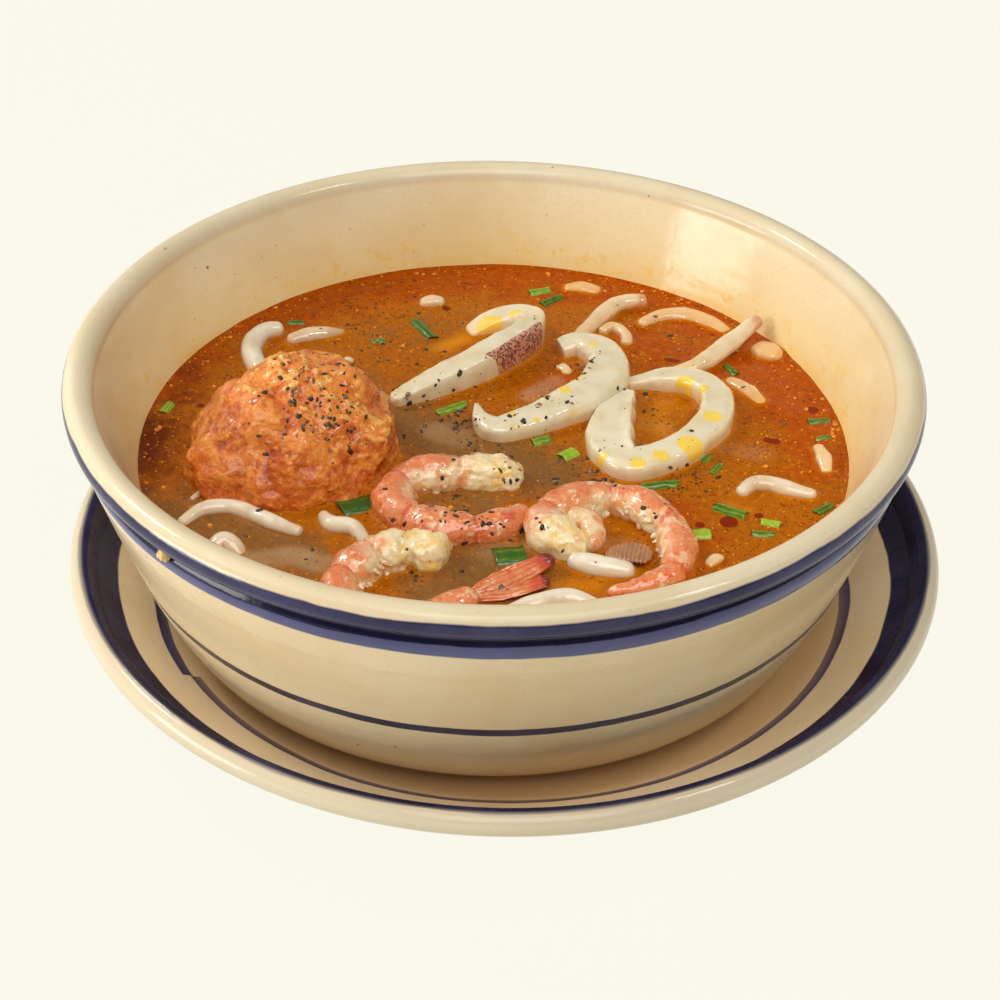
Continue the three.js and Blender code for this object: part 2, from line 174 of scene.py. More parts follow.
class Paint:
    """One material's node tree, with short ways to add to it. Its patterns are in millimetres."""

    # the sockets of a Mix node for colours
    FIRST, SECOND, MIXED = 6, 7, 2
    # how the specks' sizes differ, how sharp their edges are, and how softly their share ends
    SPREAD, LEAST, CORE, SHARE_EDGE = 0.8, 0.5, 0.6, 0.02

    def __init__(self, name: str) -> None:
        """Starts an empty material.

        Args:
            name: the material's name.
        """
        self.material = bpy.data.materials.new(name)
        self.material.use_nodes = True
        self.tree = self.material.node_tree
        self.tree.nodes.clear()
        coordinates = self.node("TexCoord")
        self.place = self.value(self.node(
            "VectorMath", {"operation": "MULTIPLY"},
            {0: self.value(coordinates, "Object"), 1: (1 / MM,) * 3},
        ))

    def node(self, kind: str, settings: dict | None = None, inputs: dict | None = None) -> bpy.types.Node:
        """Adds a node.

        Args:
            kind: the node's type, without the word that all shader nodes start with.
            settings: its own settings, which are set first.
            inputs: numbers, colours or Values for its sockets, by name or index.

        Returns:
            The new node.
        """
        made = self.tree.nodes.new("ShaderNode" + kind)
        for name, setting in (settings or {}).items():
            setattr(made, name, setting)
        for key, content in (inputs or {}).items():
            if isinstance(content, Value):
                self.tree.links.new(content.socket, made.inputs[key])
            else:
                made.inputs[key].default_value = content
        return made

    def value(self, node: bpy.types.Node, output: int | str = 0) -> Value:
        """Wraps one of a node's outputs."""
        return Value(self, node.outputs[output])

    def named(self, attribute: str) -> Value:
        """Reads a number that the mesh holds for each of its points."""
        return self.value(self.node("Attribute", {"attribute_name": attribute}), "Fac")

    def axes(self) -> tuple[Value, Value, Value]:
        """Gives the three coordinates of the place, in millimetres."""
        parts = self.node("SeparateXYZ", inputs={0: self.place})
        return self.value(parts, 0), self.value(parts, 1), self.value(parts, 2)

    def scaled(self, pitch: float, stretch: Place) -> Value:
        """Gives the place in steps of a pitch, drawn out along an axis by its stretch."""
        scale = tuple(1 / (pitch * part) for part in stretch)
        return self.value(self.node("VectorMath", {"operation": "MULTIPLY"}, {0: self.place, 1: scale}))

    def clouds(
        self, pitch: float, detail: float = 2.0, rough: float = 0.5, stretch: Place = (1, 1, 1)
    ) -> Value:
        """Gives a soft irregular pattern.

        Args:
            pitch: the size of its largest patches.
            detail: how many finer layers it has.
            rough: how strong the finer layers are.
            stretch: how far it is drawn out along each axis.

        Returns:
            Its strength, from about 0.3 to 0.7.
        """
        return self.value(self.node("TexNoise", inputs={
            "Vector": self.scaled(pitch, stretch), "Scale": 1.0, "Detail": detail, "Roughness": rough,
        }))

    def cells(self, pitch: float) -> tuple[Value, Value]:
        """Strews centres through space.

        Args:
            pitch: how far apart they are.

        Returns:
            The distance to the nearest one in pitches, and a random number of its own.
        """
        found = self.node("TexVoronoi", inputs={"Vector": self.scaled(pitch, (1, 1, 1)), "Scale": 1.0})
        parts = self.node("SeparateColor", inputs={0: self.value(found, "Color")})
        return self.value(found, "Distance"), self.value(parts, 0)

    def specks(self, pitch: float, size: float, share: float) -> Value:
        """Gives small dots at a share of strewn centres.

        Args:
            pitch: how far apart the centres are.
            size: how large the dots are, in pitches.
            share: how many of the centres have a dot, from 0 to 1.

        Returns:
            1 on a dot and 0 elsewhere.
        """
        distance, chance = self.cells(pitch)
        own = distance / (chance * (self.SPREAD / share) + self.LEAST)
        return own.rise(size, size * self.CORE) * chance.rise(share, share - self.SHARE_EDGE)

    def blend(self, first: "Value | Colour", second: "Value | Colour", share: "Value | float") -> Value:
        """Mixes two colours by a share of the second."""
        inputs = {0: share, self.FIRST: first, self.SECOND: second}
        return self.value(self.node("Mix", {"data_type": "RGBA"}, inputs), self.MIXED)

    def finished(
        self, colour: "Value | Colour", roughness: "Value | float", relief: "Value | None" = None,
        **shader: object,
    ) -> bpy.types.Material:
        """Ends the tree in one shader.

        Args:
            colour: the base colour.
            roughness: the roughness of the surface.
            relief: its fine relief, in millimetres.
            shader: constants of the shader's other sockets; an underscore stands for a space.

        Returns:
            The material.
        """
        inputs = {"Base Color": colour, "Roughness": roughness}
        inputs.update({name.replace("_", " "): constant for name, constant in shader.items()})
        if relief is not None:
            inputs["Normal"] = self.value(self.node("Bump", inputs={"Distance": MM, "Height": relief}))
        shading = self.node("BsdfPrincipled", inputs=inputs)
        self.node("OutputMaterial", inputs={"Surface": self.value(shading)})
        return self.material


# ---------------------------------------------------------------- finishes


class Measure(Enum):
    """What tells where a dish's painted bands are."""

    HEIGHT = "height"
    RADIUS = "radius"


@dataclass(frozen=True)
class Band:
    """A hand-painted band of blue on a dish.

    Attributes:
        low: its lower or inner edge, in millimetres.
        high: its upper or outer edge.
        soft: how far its edges fade.
        depth: how dark the paint is, from 0 to 1.
        drift: how far it wanders once round the dish.
        sway: how much further down or in it lies on one side.
        toward: the direction of that side, in degrees.
    """

    low: float
    high: float
    soft: float = 0.3
    depth: float = 1.0
    drift: float = 0.0
    sway: float = 0.0
    toward: float = 0.0


@dataclass(frozen=True)
class Glaze:
    """Glossy cream stoneware glaze with brown specks and hand-painted blue bands."""

    cream: Colour = linear(230, 214, 176)
    warm: Colour = linear(220, 196, 148)
    speck: Colour = linear(104, 76, 48)
    # tan for each dish's painted side: partly the glaze's own tone, partly painted shade
    tan_and_shade: Colour = linear(200, 166, 126)
    thin_blue: Colour = linear(108, 108, 152)
    deep_blue: Colour = linear(16, 9, 42)
    # the bowl's warm brown, painted into the plate's well as a painted reflection
    reflected_tea: Colour = linear(206, 166, 112)
    lip_grey: Colour = linear(196, 184, 160)
    clay: Colour = linear(190, 164, 128)
    stain: Colour = linear(236, 180, 62)
    film: Colour = linear(238, 200, 118)
    mottle: float = 26.0
    grain: float = 0.9
    tan_and_shade_share: float = 0.38
    rim: Pair = (76.5, 79.0)
    rim_share: float = 0.45
    wobble: float = 1.3
    streak: float = 0.5
    # the radii at which the painted reflection in the plate's well starts and is full
    well: Pair = (87.0, 78.0)
    lip: Pair = (102.6, 104.0)
    film_height: float = 24.0
    smear_height: float = 13.0
    drop_height: float = 10.0
    ring_height: float = 4.5
    stain_share: float = 0.7
    hollow: float = 0.14
    throwing_lines: float = 0.1
    flat_from: float = 66.0
    flat_to: float = 103.4
    flatter: float = 0.26

    def ground(self, paint: Paint) -> Value:
        """Gives the bare glaze's mottled cream with its specks.

        Args:
            paint: the material's node tree.

        Returns:
            The colour.
        """
        colour = paint.blend(self.cream, self.warm, paint.clouds(self.mottle, 3).rise(0.35, 0.75))
        colour = paint.blend(colour, self.warm, paint.clouds(self.grain, 2).rise(0.45, 0.8) * 0.5)
        colour = paint.blend(colour, self.speck, paint.specks(3.1, 0.085, 0.42) * 0.6)
        return paint.blend(colour, self.speck, paint.specks(9.0, 0.05, 0.5) * 0.85)

    def banded(
        self, paint: Paint, colour: Value, bands: Sequence[Band], across: Value, turn: Value, lap: Value,
        painted: Value,
    ) -> Value:
        """Paints the bands over a colour.

        Args:
            paint: the material's node tree.
            colour: the colour so far.
            bands: the bands, from the first one painted to the last.
            across: the height or the radius that the bands lie by.
            turn: the direction from the dish's middle, in radians.
            lap: how far round the dish a place is, from 0 to 1.
            painted: 1 on the painted side.

        Returns:
            The new colour.
        """
        streaks = (paint.clouds(22, 2) - 0.5) * self.streak + (paint.clouds(1.4, 2) - 0.5) * 0.12
        for band in bands:
            place = across - (lap - 0.5) * band.drift if band.drift else across
            if band.sway:
                place = place + (turn - math.radians(band.toward)).cosine() * band.sway
            lower_edge = place.rise(band.low, band.low + band.soft)
            inside = lower_edge * place.rise(band.high, band.high - band.soft)
            blue = paint.blend(self.thin_blue, self.deep_blue, (streaks + band.depth).both(1.0).either(0.0))
            colour = paint.blend(colour, blue, inside * painted)
        return colour

    def soup_marks(self, paint: Paint, colour: Value, height: Value, y: Value, inner: Value) -> Value:
        """Stains the wall above the soup.

        Args:
            paint: the material's node tree.
            colour: the colour so far.
            height: the height above the soup.
            y: the place along y; the stains fade towards the front.
            inner: 1 on the inside.

        Returns:
            The new colour.
        """
        colour = paint.blend(colour, self.film, height.rise(self.film_height, 0) * inner * 0.5)
        smear = paint.clouds(6, 5, 0.7, (1, 1, 0.7)).rise(0.54, 0.66)
        smear = smear * height.rise(self.smear_height, 3) * 0.7
        drops = paint.specks(2.0, 0.26, 0.4) * height.rise(self.drop_height, 4)
        ring = height.rise(self.ring_height, 0.5) * paint.clouds(5, 3).rise(0.3, 0.6) * 0.6
        ring = ring.either(drops)
        back = y.rise(-70, 10)
        return paint.blend(colour, self.stain, (smear.either(ring) * back) * inner * self.stain_share)

    def material(
        self, name: str, centre: float, measure: Measure, bands: Sequence[Band], gap: float = 0.0,
        waterline: float | None = None,
    ) -> bpy.types.Material:
        """Makes a dish's material. Its bands are on the side that the mesh calls painted.

        Args:
            name: the material's name.
            centre: the dish's place along x.
            measure: whether the bands lie by height or by radius.
            bands: the painted bands.
            gap: the direction in which a drifting band starts and ends, in radians.
            waterline: the height of the soup inside, where there is any.

        Returns:
            The material.
        """
        paint = Paint(name)
        x, y, z = paint.axes()
        x = x - centre
        radius = (x * x + y * y) ** 0.5
        colour = self.ground(paint)
        wobble = (paint.clouds(24, 2) - 0.5) * self.wobble + (paint.clouds(5, 2) - 0.5) * 0.25
        across = (z if measure is Measure.HEIGHT else radius) + wobble
        turn = paint.value(paint.node("Math", {"operation": "ARCTAN2"}, {0: y, 1: x}))
        lap = ((turn - gap) / math.tau + 2.0).math("FRACT", (turn - gap) / math.tau + 2.0)
        painted = paint.named("painted").rise(0.4, 0.6)
        # tints each dish's painted side tan: partly the glaze's own tone, partly painted shade on the outer
        # wall
        colour = paint.blend(colour, self.tan_and_shade, painted * self.tan_and_shade_share)
        if waterline is not None:
            colour = paint.blend(colour, self.lip_grey, z.rise(*self.rim) * self.rim_share)
        colour = self.banded(paint, colour, bands, across, turn, lap, painted)
        if measure is Measure.RADIUS:
            # painted reflection of the bowl's warm wall, in the plate's well round and under the bowl
            well = radius.rise(*self.well) * painted
            colour = paint.blend(colour, self.reflected_tea, well * 0.8)
            colour = paint.blend(colour, self.lip_grey, radius.rise(*self.lip) * 0.7)
        if waterline is not None:
            height = z - waterline
            colour = self.soup_marks(paint, colour, height, y, 1 - painted)
        bare = paint.named("bare")
        colour = paint.blend(colour, self.clay, bare)
        roughness = paint.clouds(12, 2) * 0.1 + 0.1 + bare * 0.6
        relief = paint.clouds(7, 2) * self.hollow + paint.clouds(1.1, 2) * 0.02
        relief = relief + paint.clouds(18, 1, 0.5, (9, 9, 0.25)) * self.throwing_lines
        if measure is Measure.RADIUS:
            slope = (radius.either(self.flat_from) - self.flat_to).both(0.0)
            relief = relief - slope * painted * self.flatter
        return paint.finished(colour, roughness, relief, IOR=1.46, Specular_IOR_Level=0.32)


@dataclass(frozen=True)
class Broth:
    """Cloudy broth under a film of chilli oil, with fine specks of spice."""

    amber: Colour = linear(170, 92, 4)
    rust: Colour = linear(168, 72, 0)
    murk: Colour = linear(132, 88, 42)
    pale: Colour = linear(196, 164, 120)
    deep: Colour = linear(100, 38, 1)
    gold: Colour = linear(232, 146, 16)
    drop: Colour = linear(120, 30, 2)
    grain: Colour = linear(70, 27, 4)
    herb: Colour = linear(58, 46, 8)
    mottle: float = 8.0
    vein: float = 2.0
    shoal: float = 11.0
    fine_grain: float = 0.7
    coarse_grain: float = 1.7
    flake: float = 1.1

    def material(self) -> bpy.types.Material:
        """Makes the soup's material. The mesh holds how much of each tint shows where.

        Returns:
            The material.
        """
        paint = Paint("broth")
        wander = paint.clouds(self.mottle, 6, 0.68) - 0.5
        veins = paint.clouds(self.vein, 5, 0.75) - 0.5
        colour = paint.blend(self.amber, self.rust, (paint.named("rust") + wander * 2.0).rise(0.1, 0.9))
        colour = paint.blend(colour, self.murk, (paint.named("murk") + wander * 1.8).rise(0.15, 0.95))
        colour = paint.blend(colour, self.deep, (paint.named("deep") + wander * 1.2).rise(0.15, 0.95))
        colour = paint.blend(colour, self.pale, (paint.named("pale") + wander * 0.5).rise(0.1, 1.0) * 0.85)
        oil = 1 - paint.named("murk") * 0.6
        colour = paint.blend(colour, self.deep, veins.rise(0.03, 0.2) * 0.6 * oil)
        colour = paint.blend(colour, self.gold, veins.rise(-0.06, -0.22) * 0.4 * oil)
        shoals = paint.clouds(self.shoal, 4, 0.6).rise(0.32, 0.56)
        fine = paint.specks(self.fine_grain, 0.4, 0.6) * oil * shoals
        coarse = paint.specks(self.coarse_grain, 0.3, 0.4) * oil * shoals
        herbs = paint.named("herb") * paint.specks(self.flake, 0.46, 0.6)
        bright = paint.specks(self.flake, 0.3, 0.3) * oil
        colour = paint.blend(colour, self.grain, fine * 0.7)
        colour = paint.blend(colour, self.grain, coarse * 0.65)
        colour = paint.blend(colour, self.gold, bright * 0.8)
        colour = paint.blend(colour, self.gold, (paint.named("gold") + wander * 1.1).rise(0.15, 1.0) * 0.75)
        colour = paint.blend(colour, self.herb, herbs)
        colour = paint.blend(colour, self.drop, paint.named("drop").rise(0.4, 0.6) * 0.9)
        relief = (
            paint.clouds(5, 3) * 0.2 + paint.clouds(0.9, 2) * 0.02
            + bright * 0.05 + coarse * 0.04 + paint.named("drop") * 0.08
        )
        return paint.finished(colour, 0.08, relief, IOR=1.33, Specular_IOR_Level=0.22)


@dataclass(frozen=True)
class Flesh:
    """Soft pale food, such as squid or a noodle, that the broth stains at its waterline."""

    name: str
    body: Colour
    shade: Colour
    stain: Colour = linear(236, 160, 34)
    oil: Colour = linear(244, 206, 48)
    blush: Colour = linear(196, 124, 106)
    dots: Colour = linear(88, 14, 30)
    film: Colour = linear(216, 158, 84)
    glow: float = 0.3
    roughness: float = 0.14
    fibre: float = 0.025
    mottle: float = 3.2
    dot_pitch: float = 0.72
    wet_line: float = 1.7
    damp_line: float = 4.2

    def material(self) -> bpy.types.Material:
        """Makes the material. The mesh holds its oil drops, its coloured skin and its flush.

        Returns:
            The material.
        """
        paint = Paint(self.name)
        height = paint.axes()[2] - SOUP_LEVEL
        wander = paint.clouds(self.mottle, 3) - 0.5
        colour = paint.blend(self.body, self.shade, paint.clouds(6, 3).rise(0.4, 0.75) * 0.6)
        flush = (paint.named("flush") + wander * 0.8).rise(0.4, 1.0)
        colour = paint.blend(colour, self.blush, flush * 0.85)
        skin = (paint.named("skin") + wander * 0.5).rise(0.45, 0.6)
        colour = paint.blend(colour, self.blush, skin * 0.85)
        distance, chance = paint.cells(self.dot_pitch)
        colour = paint.blend(colour, self.dots, skin * distance.rise(0.62, 0.4) * (chance * 0.4 + 0.6))
        oil = (paint.named("oil") + wander * 0.5).rise(0.42, 0.62)
        oil = oil.either(paint.clouds(7, 3, 0.6).rise(0.6, 0.72) * 0.3)
        colour = paint.blend(colour, self.oil, oil * 0.85)
        colour = paint.blend(colour, self.film, (paint.named("veil") + wander * 0.5).rise(0.0, 1.0))
        wet = (height + wander * 1.6).rise(self.wet_line, -0.3)
        wet = wet.either((height + wander * 3).rise(self.damp_line, 0) * 0.4)
        colour = paint.blend(colour, self.stain, wet * 0.85)
        relief = paint.clouds(1.6, 3, 0.6) * self.fibre * 2 + paint.clouds(0.5, 1) * self.fibre + oil * 0.05
        return paint.finished(
            colour, self.roughness, relief, IOR=1.4, Coat_Weight=0.8, Coat_Roughness=0.05,
            Subsurface_Weight=self.glow, Subsurface_Radius=(1.0, 0.7, 0.4), Subsurface_Scale=0.003,
        )


@dataclass(frozen=True)
class ShrimpMeat:
    """Cooked peeled shrimp: cream flesh under a coral skin with red streaks."""

    cream: Colour = linear(238, 218, 172)
    peach: Colour = linear(228, 164, 104)
    coral: Colour = linear(222, 120, 66)
    red: Colour = linear(202, 66, 22)
    tip: Colour = linear(112, 22, 10)
    oil: Colour = linear(240, 190, 60)
    stain: Colour = linear(226, 138, 44)
    mottle: float = 2.6
    streak: float = 1.5
    blotch: float = 4.5

    def material(self) -> bpy.types.Material:
        """Makes the material. The mesh holds which side is the back, the joints and the ends.

        Returns:
            The material.
        """
        paint = Paint("shrimp_meat")
        height = paint.axes()[2] - SOUP_LEVEL
        wander = paint.clouds(self.mottle, 4, 0.6) - 0.5
        back = paint.named("back") + wander * 1.6
        bare = paint.named("cream")
        flesh = paint.blend(self.cream, self.peach, (paint.clouds(4.2, 3) - bare * 0.2).rise(0.36, 0.56))
        coral = back.rise(-1.1, -0.1) * (1 - bare)
        colour = paint.blend(flesh, self.coral, coral * 0.85)
        colour = paint.blend(colour, self.cream, paint.clouds(3.1, 4, 0.65).rise(0.55, 0.64) * 0.6)
        streak = paint.clouds(self.streak, 5, 0.7).rise(0.53, 0.66)
        streak = streak.either(paint.clouds(self.blotch, 4, 0.7).rise(0.56, 0.68))
        red = back.rise(-0.7, 0.5) * streak * (1 - bare)
        colour = paint.blend(colour, self.red, red * 0.75)
        colour = paint.blend(colour, self.red, (paint.named("joint") + wander).rise(0.6, 1.0) * coral * 0.7)
        oil = (bare + paint.clouds(3.4, 4, 0.7) * 2.4).rise(2.1, 2.5)
        colour = paint.blend(colour, self.oil, oil * 0.7)
        colour = paint.blend(colour, self.red, (paint.named("tip") + wander * 0.6).rise(0.1, 0.55) * 0.8)
        colour = paint.blend(colour, self.tip, (paint.named("tip") + wander * 0.5).rise(0.6, 0.9))
        colour = paint.blend(colour, self.stain, (height + wander * 1.4).rise(1.0, -0.5) * 0.6)
        relief = paint.clouds(2.2, 4, 0.6) * 0.6 + paint.clouds(0.6, 2) * 0.06
        return paint.finished(
            colour, 0.2, relief, IOR=1.4, Coat_Weight=1.0, Coat_Roughness=0.06,
            Subsurface_Weight=0.25, Subsurface_Radius=(1.0, 0.5, 0.3), Subsurface_Scale=0.003,
        )


@dataclass(frozen=True)
class Mince:
    """A simmered ball of minced shrimp and fish: granular, oily and uneven in colour."""

    brown: Colour = linear(204, 98, 26)
    # the lighter orange: random patches, and painted light on the ball's top and raised places
    light: Colour = linear(236, 146, 58)
    # the dark red: painted shade in the hollows, and random red crumbs
    red: Colour = linear(150, 52, 10)
    gold: Colour = linear(244, 190, 100)
    patch: float = 5.5
    bit: float = 1.8
    crumb: float = 1.0
    grain: float = 1.1

    def material(self) -> bpy.types.Material:
        """Makes the material. The mesh holds how far each place stands out.

        Returns:
            The material.
        """
        paint = Paint("mince")
        peak = paint.named("peak")
        # lighter in random patches, and painted light that grows towards the top of the ball and on its
        # raised places
        patch = paint.clouds(self.patch, 4, 0.6) + (paint.axes()[2] - SOUP_LEVEL).rise(2, 22) * 0.12
        colour = paint.blend(self.brown, self.light, (patch + peak * 0.25).rise(0.42, 0.7) * 0.85)
        # painted shade: dark red in the hollows of the relief
        crevice_shade = (peak * -1.0 + (paint.clouds(2.4, 3) - 0.5)).rise(0.1, 0.8)
        colour = paint.blend(colour, self.red, crevice_shade * 0.8)
        colour = paint.blend(colour, self.gold, paint.clouds(self.bit, 4, 0.7).rise(0.56, 0.7) * 0.5)
        colour = paint.blend(colour, self.red, paint.clouds(self.crumb, 4, 0.7).rise(0.57, 0.7) * 0.5)
        flake = (paint.named("flake") + (paint.clouds(1.2, 3) - 0.5) * 1.6).rise(0.35, 1.0)
        colour = paint.blend(colour, self.gold, flake * 0.7)
        grains, _ = paint.cells(self.grain)
        relief = (1 - grains) * 0.25 + paint.clouds(0.8, 3, 0.6) * 0.45 + paint.clouds(2.6, 3) * 0.5
        roughness = paint.clouds(2.0, 3).rise(0.4, 0.65) * 0.2 + 0.1
        return paint.finished(
            colour, roughness, relief, IOR=1.42, Specular_IOR_Level=0.35,
            Coat_Weight=0.45, Coat_Roughness=0.04,
            Subsurface_Weight=0.12, Subsurface_Radius=(1.0, 0.45, 0.25), Subsurface_Scale=0.002,
        )


@dataclass(frozen=True)
class Green:
    """Cut spring onion, dark outside and pale inside, with veins along it."""

    dark: Colour = linear(48, 90, 6)
    light: Colour = linear(150, 180, 34)
    veins: float = 3.2

    def material(self) -> bpy.types.Material:
        """Makes the material. The mesh holds each slice's tone and its veins' places.

        Returns:
            The material.
        """
        paint = Paint("spring_onion")
        vein = paint.named("vein") * self.veins
        lines = vein.math("SINE", vein * math.tau).rise(-0.2, 1.0)
        tone = (paint.named("tone") + lines * 0.22 + (paint.clouds(2, 3) - 0.5) * 0.5).rise(0.05, 1.0)
        colour = paint.blend(self.dark, self.light, tone)
        return paint.finished(
            colour, 0.22, lines * 0.06 + paint.clouds(0.8, 2) * 0.05, Coat_Weight=0.4, Coat_Roughness=0.08,
            Subsurface_Weight=0.1, Subsurface_Radius=(0.4, 1.0, 0.2), Subsurface_Scale=0.0015,
        )


@dataclass(frozen=True)
class Bead:
    """A clear bead of golden oil."""

    gold: Colour = linear(226, 138, 34)

    def material(self) -> bpy.types.Material:
        """Makes the material.

        Returns:
            The material.
        """
        paint = Paint("oil_bead")
        colour = paint.blend(self.gold, Broth.rust, paint.clouds(3, 2).rise(0.4, 0.6))
        return paint.finished(colour, 0.05, IOR=1.45)


@dataclass(frozen=True)
class Spice:
    """Cracked pepper or a dry crumb: rough, with paler broken faces."""

    name: str
    dark: Colour
    light: Colour

    def material(self) -> bpy.types.Material:
        """Makes the material. The mesh holds each fleck's tone.

        Returns:
            The material.
        """
        paint = Paint(self.name)
        tone = paint.named("tone") * 0.8 + (paint.clouds(0.5, 2) - 0.5) * 0.9
        colour = paint.blend(self.dark, self.light, tone.rise(0.25, 1.0))
        relief = paint.clouds(0.35, 2) * 0.12
        return paint.finished(colour, 0.4, relief, Coat_Weight=0.15, Coat_Roughness=0.2)


SQUID = Flesh("squid", linear(226, 214, 182), linear(208, 186, 138))
NOODLE = Flesh(
    "noodle", linear(232, 224, 202), linear(196, 172, 132), stain=linear(192, 124, 44),
    oil=linear(232, 214, 160), glow=0.45, roughness=0.08, fibre=0.012,
)
SHELL = Flesh(
    "shell", linear(186, 134, 92), linear(120, 74, 48), stain=linear(160, 84, 34),
    glow=0.2, roughness=0.12, fibre=0.12,
)
BEAD = Bead()
PEPPER = Spice("pepper", linear(40, 24, 14), linear(166, 122, 80))
CRUMB = Spice("crumb", linear(222, 178, 96), linear(248, 220, 150))


# ---------------------------------------------------------------- meshes


class Shape:
    """A mesh in the making, in millimetres."""

    def __init__(self, name: str, build: bmesh.types.BMesh) -> None:
        """Takes over a finished bmesh.

        Args:
            name: the piece's name.
            build: the bmesh, which is used up.
        """
        self.name = name
        self.mesh = bpy.data.meshes.new(name)
        build.to_mesh(self.mesh)
        build.free()
        self.mesh.polygons.foreach_set("use_smooth", [True] * len(self.mesh.polygons))

    @property
    def points(self) -> np.ndarray:
        """Gives its points, one a row.

        Returns:
            The places, in millimetres until the shape is set down.
        """
        found = np.empty(len(self.mesh.vertices) * 3, np.float32)
        self.mesh.vertices.foreach_get("co", found)
        return found.reshape(-1, 3).astype(float)

    @points.setter
    def points(self, places: np.ndarray) -> None:
        """Moves its points."""
        self.mesh.vertices.foreach_set("co", places.astype(np.float32).ravel())
        self.mesh.update()

    @property
    def normals(self) -> np.ndarray:
        """Gives the outward direction at each point.

        Returns:
            One unit vector for each point.
        """
        found = np.empty(len(self.mesh.vertices) * 3, np.float32)
        self.mesh.vertex_normals.foreach_get("vector", found)
        return found.reshape(-1, 3).astype(float)

    def paint(self, attribute: str, values: np.ndarray) -> None:
        """Keeps a number for each point, for the material."""
        layer = self.mesh.attributes.get(attribute) or self.mesh.attributes.new(attribute, "FLOAT", "POINT")
        layer.data.foreach_set("value", np.asarray(values, np.float32))

    def painted(self, attribute: str) -> np.ndarray:
        """Gives a number that the mesh holds for each point.

        Args:
            attribute: the number's name.

        Returns:
            The numbers, in the order of the points.
        """
        found = np.zeros(len(self.mesh.vertices), np.float32)
        self.mesh.attributes[attribute].data.foreach_get("value", found)
        return found

    def push(self, heights: np.ndarray) -> None:
        """Moves each point outwards by its height."""
        self.points = self.points + self.normals * heights[:, None]

    def ruffle(
        self, height: float, pitch: float, octaves: int = 3, share: np.ndarray | float = 1.0
    ) -> None:
        """Moves its points in and out by a soft irregular pattern."""
        self.push(clouds(self.points, pitch, octaves) * height * share)

    def surface(self) -> tuple[list[Vector], list[tuple[int, ...]]]:
        """Gives its points and faces, to look for places on."""
        return [Vector(p) for p in self.points], [tuple(face.vertices) for face in self.mesh.polygons]

    def set_down(
        self, finish: bpy.types.Material, slot: Slot, nodes: Sequence[str] = (), origin: Place = FOOD_ORIGIN
    ) -> bpy.types.Object:
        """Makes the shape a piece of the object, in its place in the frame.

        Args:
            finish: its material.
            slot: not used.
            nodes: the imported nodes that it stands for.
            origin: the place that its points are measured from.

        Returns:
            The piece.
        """
        self.points = (self.points + origin) * MM
        self.mesh.materials.append(finish)
        piece = bpy.data.objects.new(self.name + "_dressed" if nodes else self.name, self.mesh)
        bpy.context.scene.collection.objects.link(piece)
        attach(piece, "root")
        if nodes:
            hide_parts(*nodes)
        LOG.info("%s: %d faces", self.name, len(self.mesh.polygons))
        return piece


def clouds(points: np.ndarray, pitch: float, octaves: int = 3) -> np.ndarray:
    """Gives a soft irregular number from about -1 to 1 at each point."""
    return np.array([noise.fractal(Vector(p), 1.0, 2.0, octaves) for p in points / pitch])


def grains(points: np.ndarray, pitch: float) -> np.ndarray:
    """Gives how near each point is to the middle of a grain, from 0 to about 1."""
    return np.array([1 - noise.voronoi(Vector(p))[0][0] for p in points / pitch])


class Route:
    """A smooth curve through a few places, measured by its length."""

    STEPS = 40
    HALF_STEP = 0.6

    def __init__(self, places: Sequence[Place]) -> None:
        """Works the curve out. It bends least where its places lie close together.

        Args:
            places: the places, from one end to the other.
        """
        given = np.array(places, float)
        ends = [2 * given[0] - given[1], *given, 2 * given[-1] - given[-2]]
        found = []
        for a, b, c, d in zip(ends, ends[1:], ends[2:], ends[3:]):
            before, here, after = (math.sqrt(np.linalg.norm(q - p)) for p, q in ((a, b), (b, c), (c, d)))
            leaving = ((b - a) / before - (c - a) / (before + here) + (c - b) / here) * here
            arriving = ((c - b) / here - (d - b) / (here + after) + (d - c) / after) * here
            share = np.linspace(0, 1, self.STEPS, endpoint=False)[:, None]
            found.append(
                b + leaving * share + (3 * (c - b) - 2 * leaving - arriving) * share**2
                + (2 * (b - c) + leaving + arriving) * share**3
            )
        self.places = np.vstack([*found, given[-1:]])
        steps = np.linalg.norm(np.diff(self.places, axis=0), axis=1)
        self.reaches = np.concatenate([[0], np.cumsum(steps)])
        self.length = float(self.reaches[-1])

    def at(self, reach: np.ndarray) -> np.ndarray:
        """Gives the places at distances along the curve."""
        return np.stack([np.interp(reach, self.reaches, self.places[:, k]) for k in range(3)], axis=1)

    def forward(self, reach: np.ndarray) -> np.ndarray:
        """Gives the curve's directions at distances along it.

        Args:
            reach: the distances.

        Returns:
            One unit vector for each distance.
        """
        ahead = self.at(np.minimum(reach + self.HALF_STEP, self.length))
        step = ahead - self.at(np.maximum(reach - self.HALF_STEP, 0))
        return step / np.linalg.norm(step, axis=1)[:, None]


Swell = Callable[[np.ndarray, np.ndarray], np.ndarray]


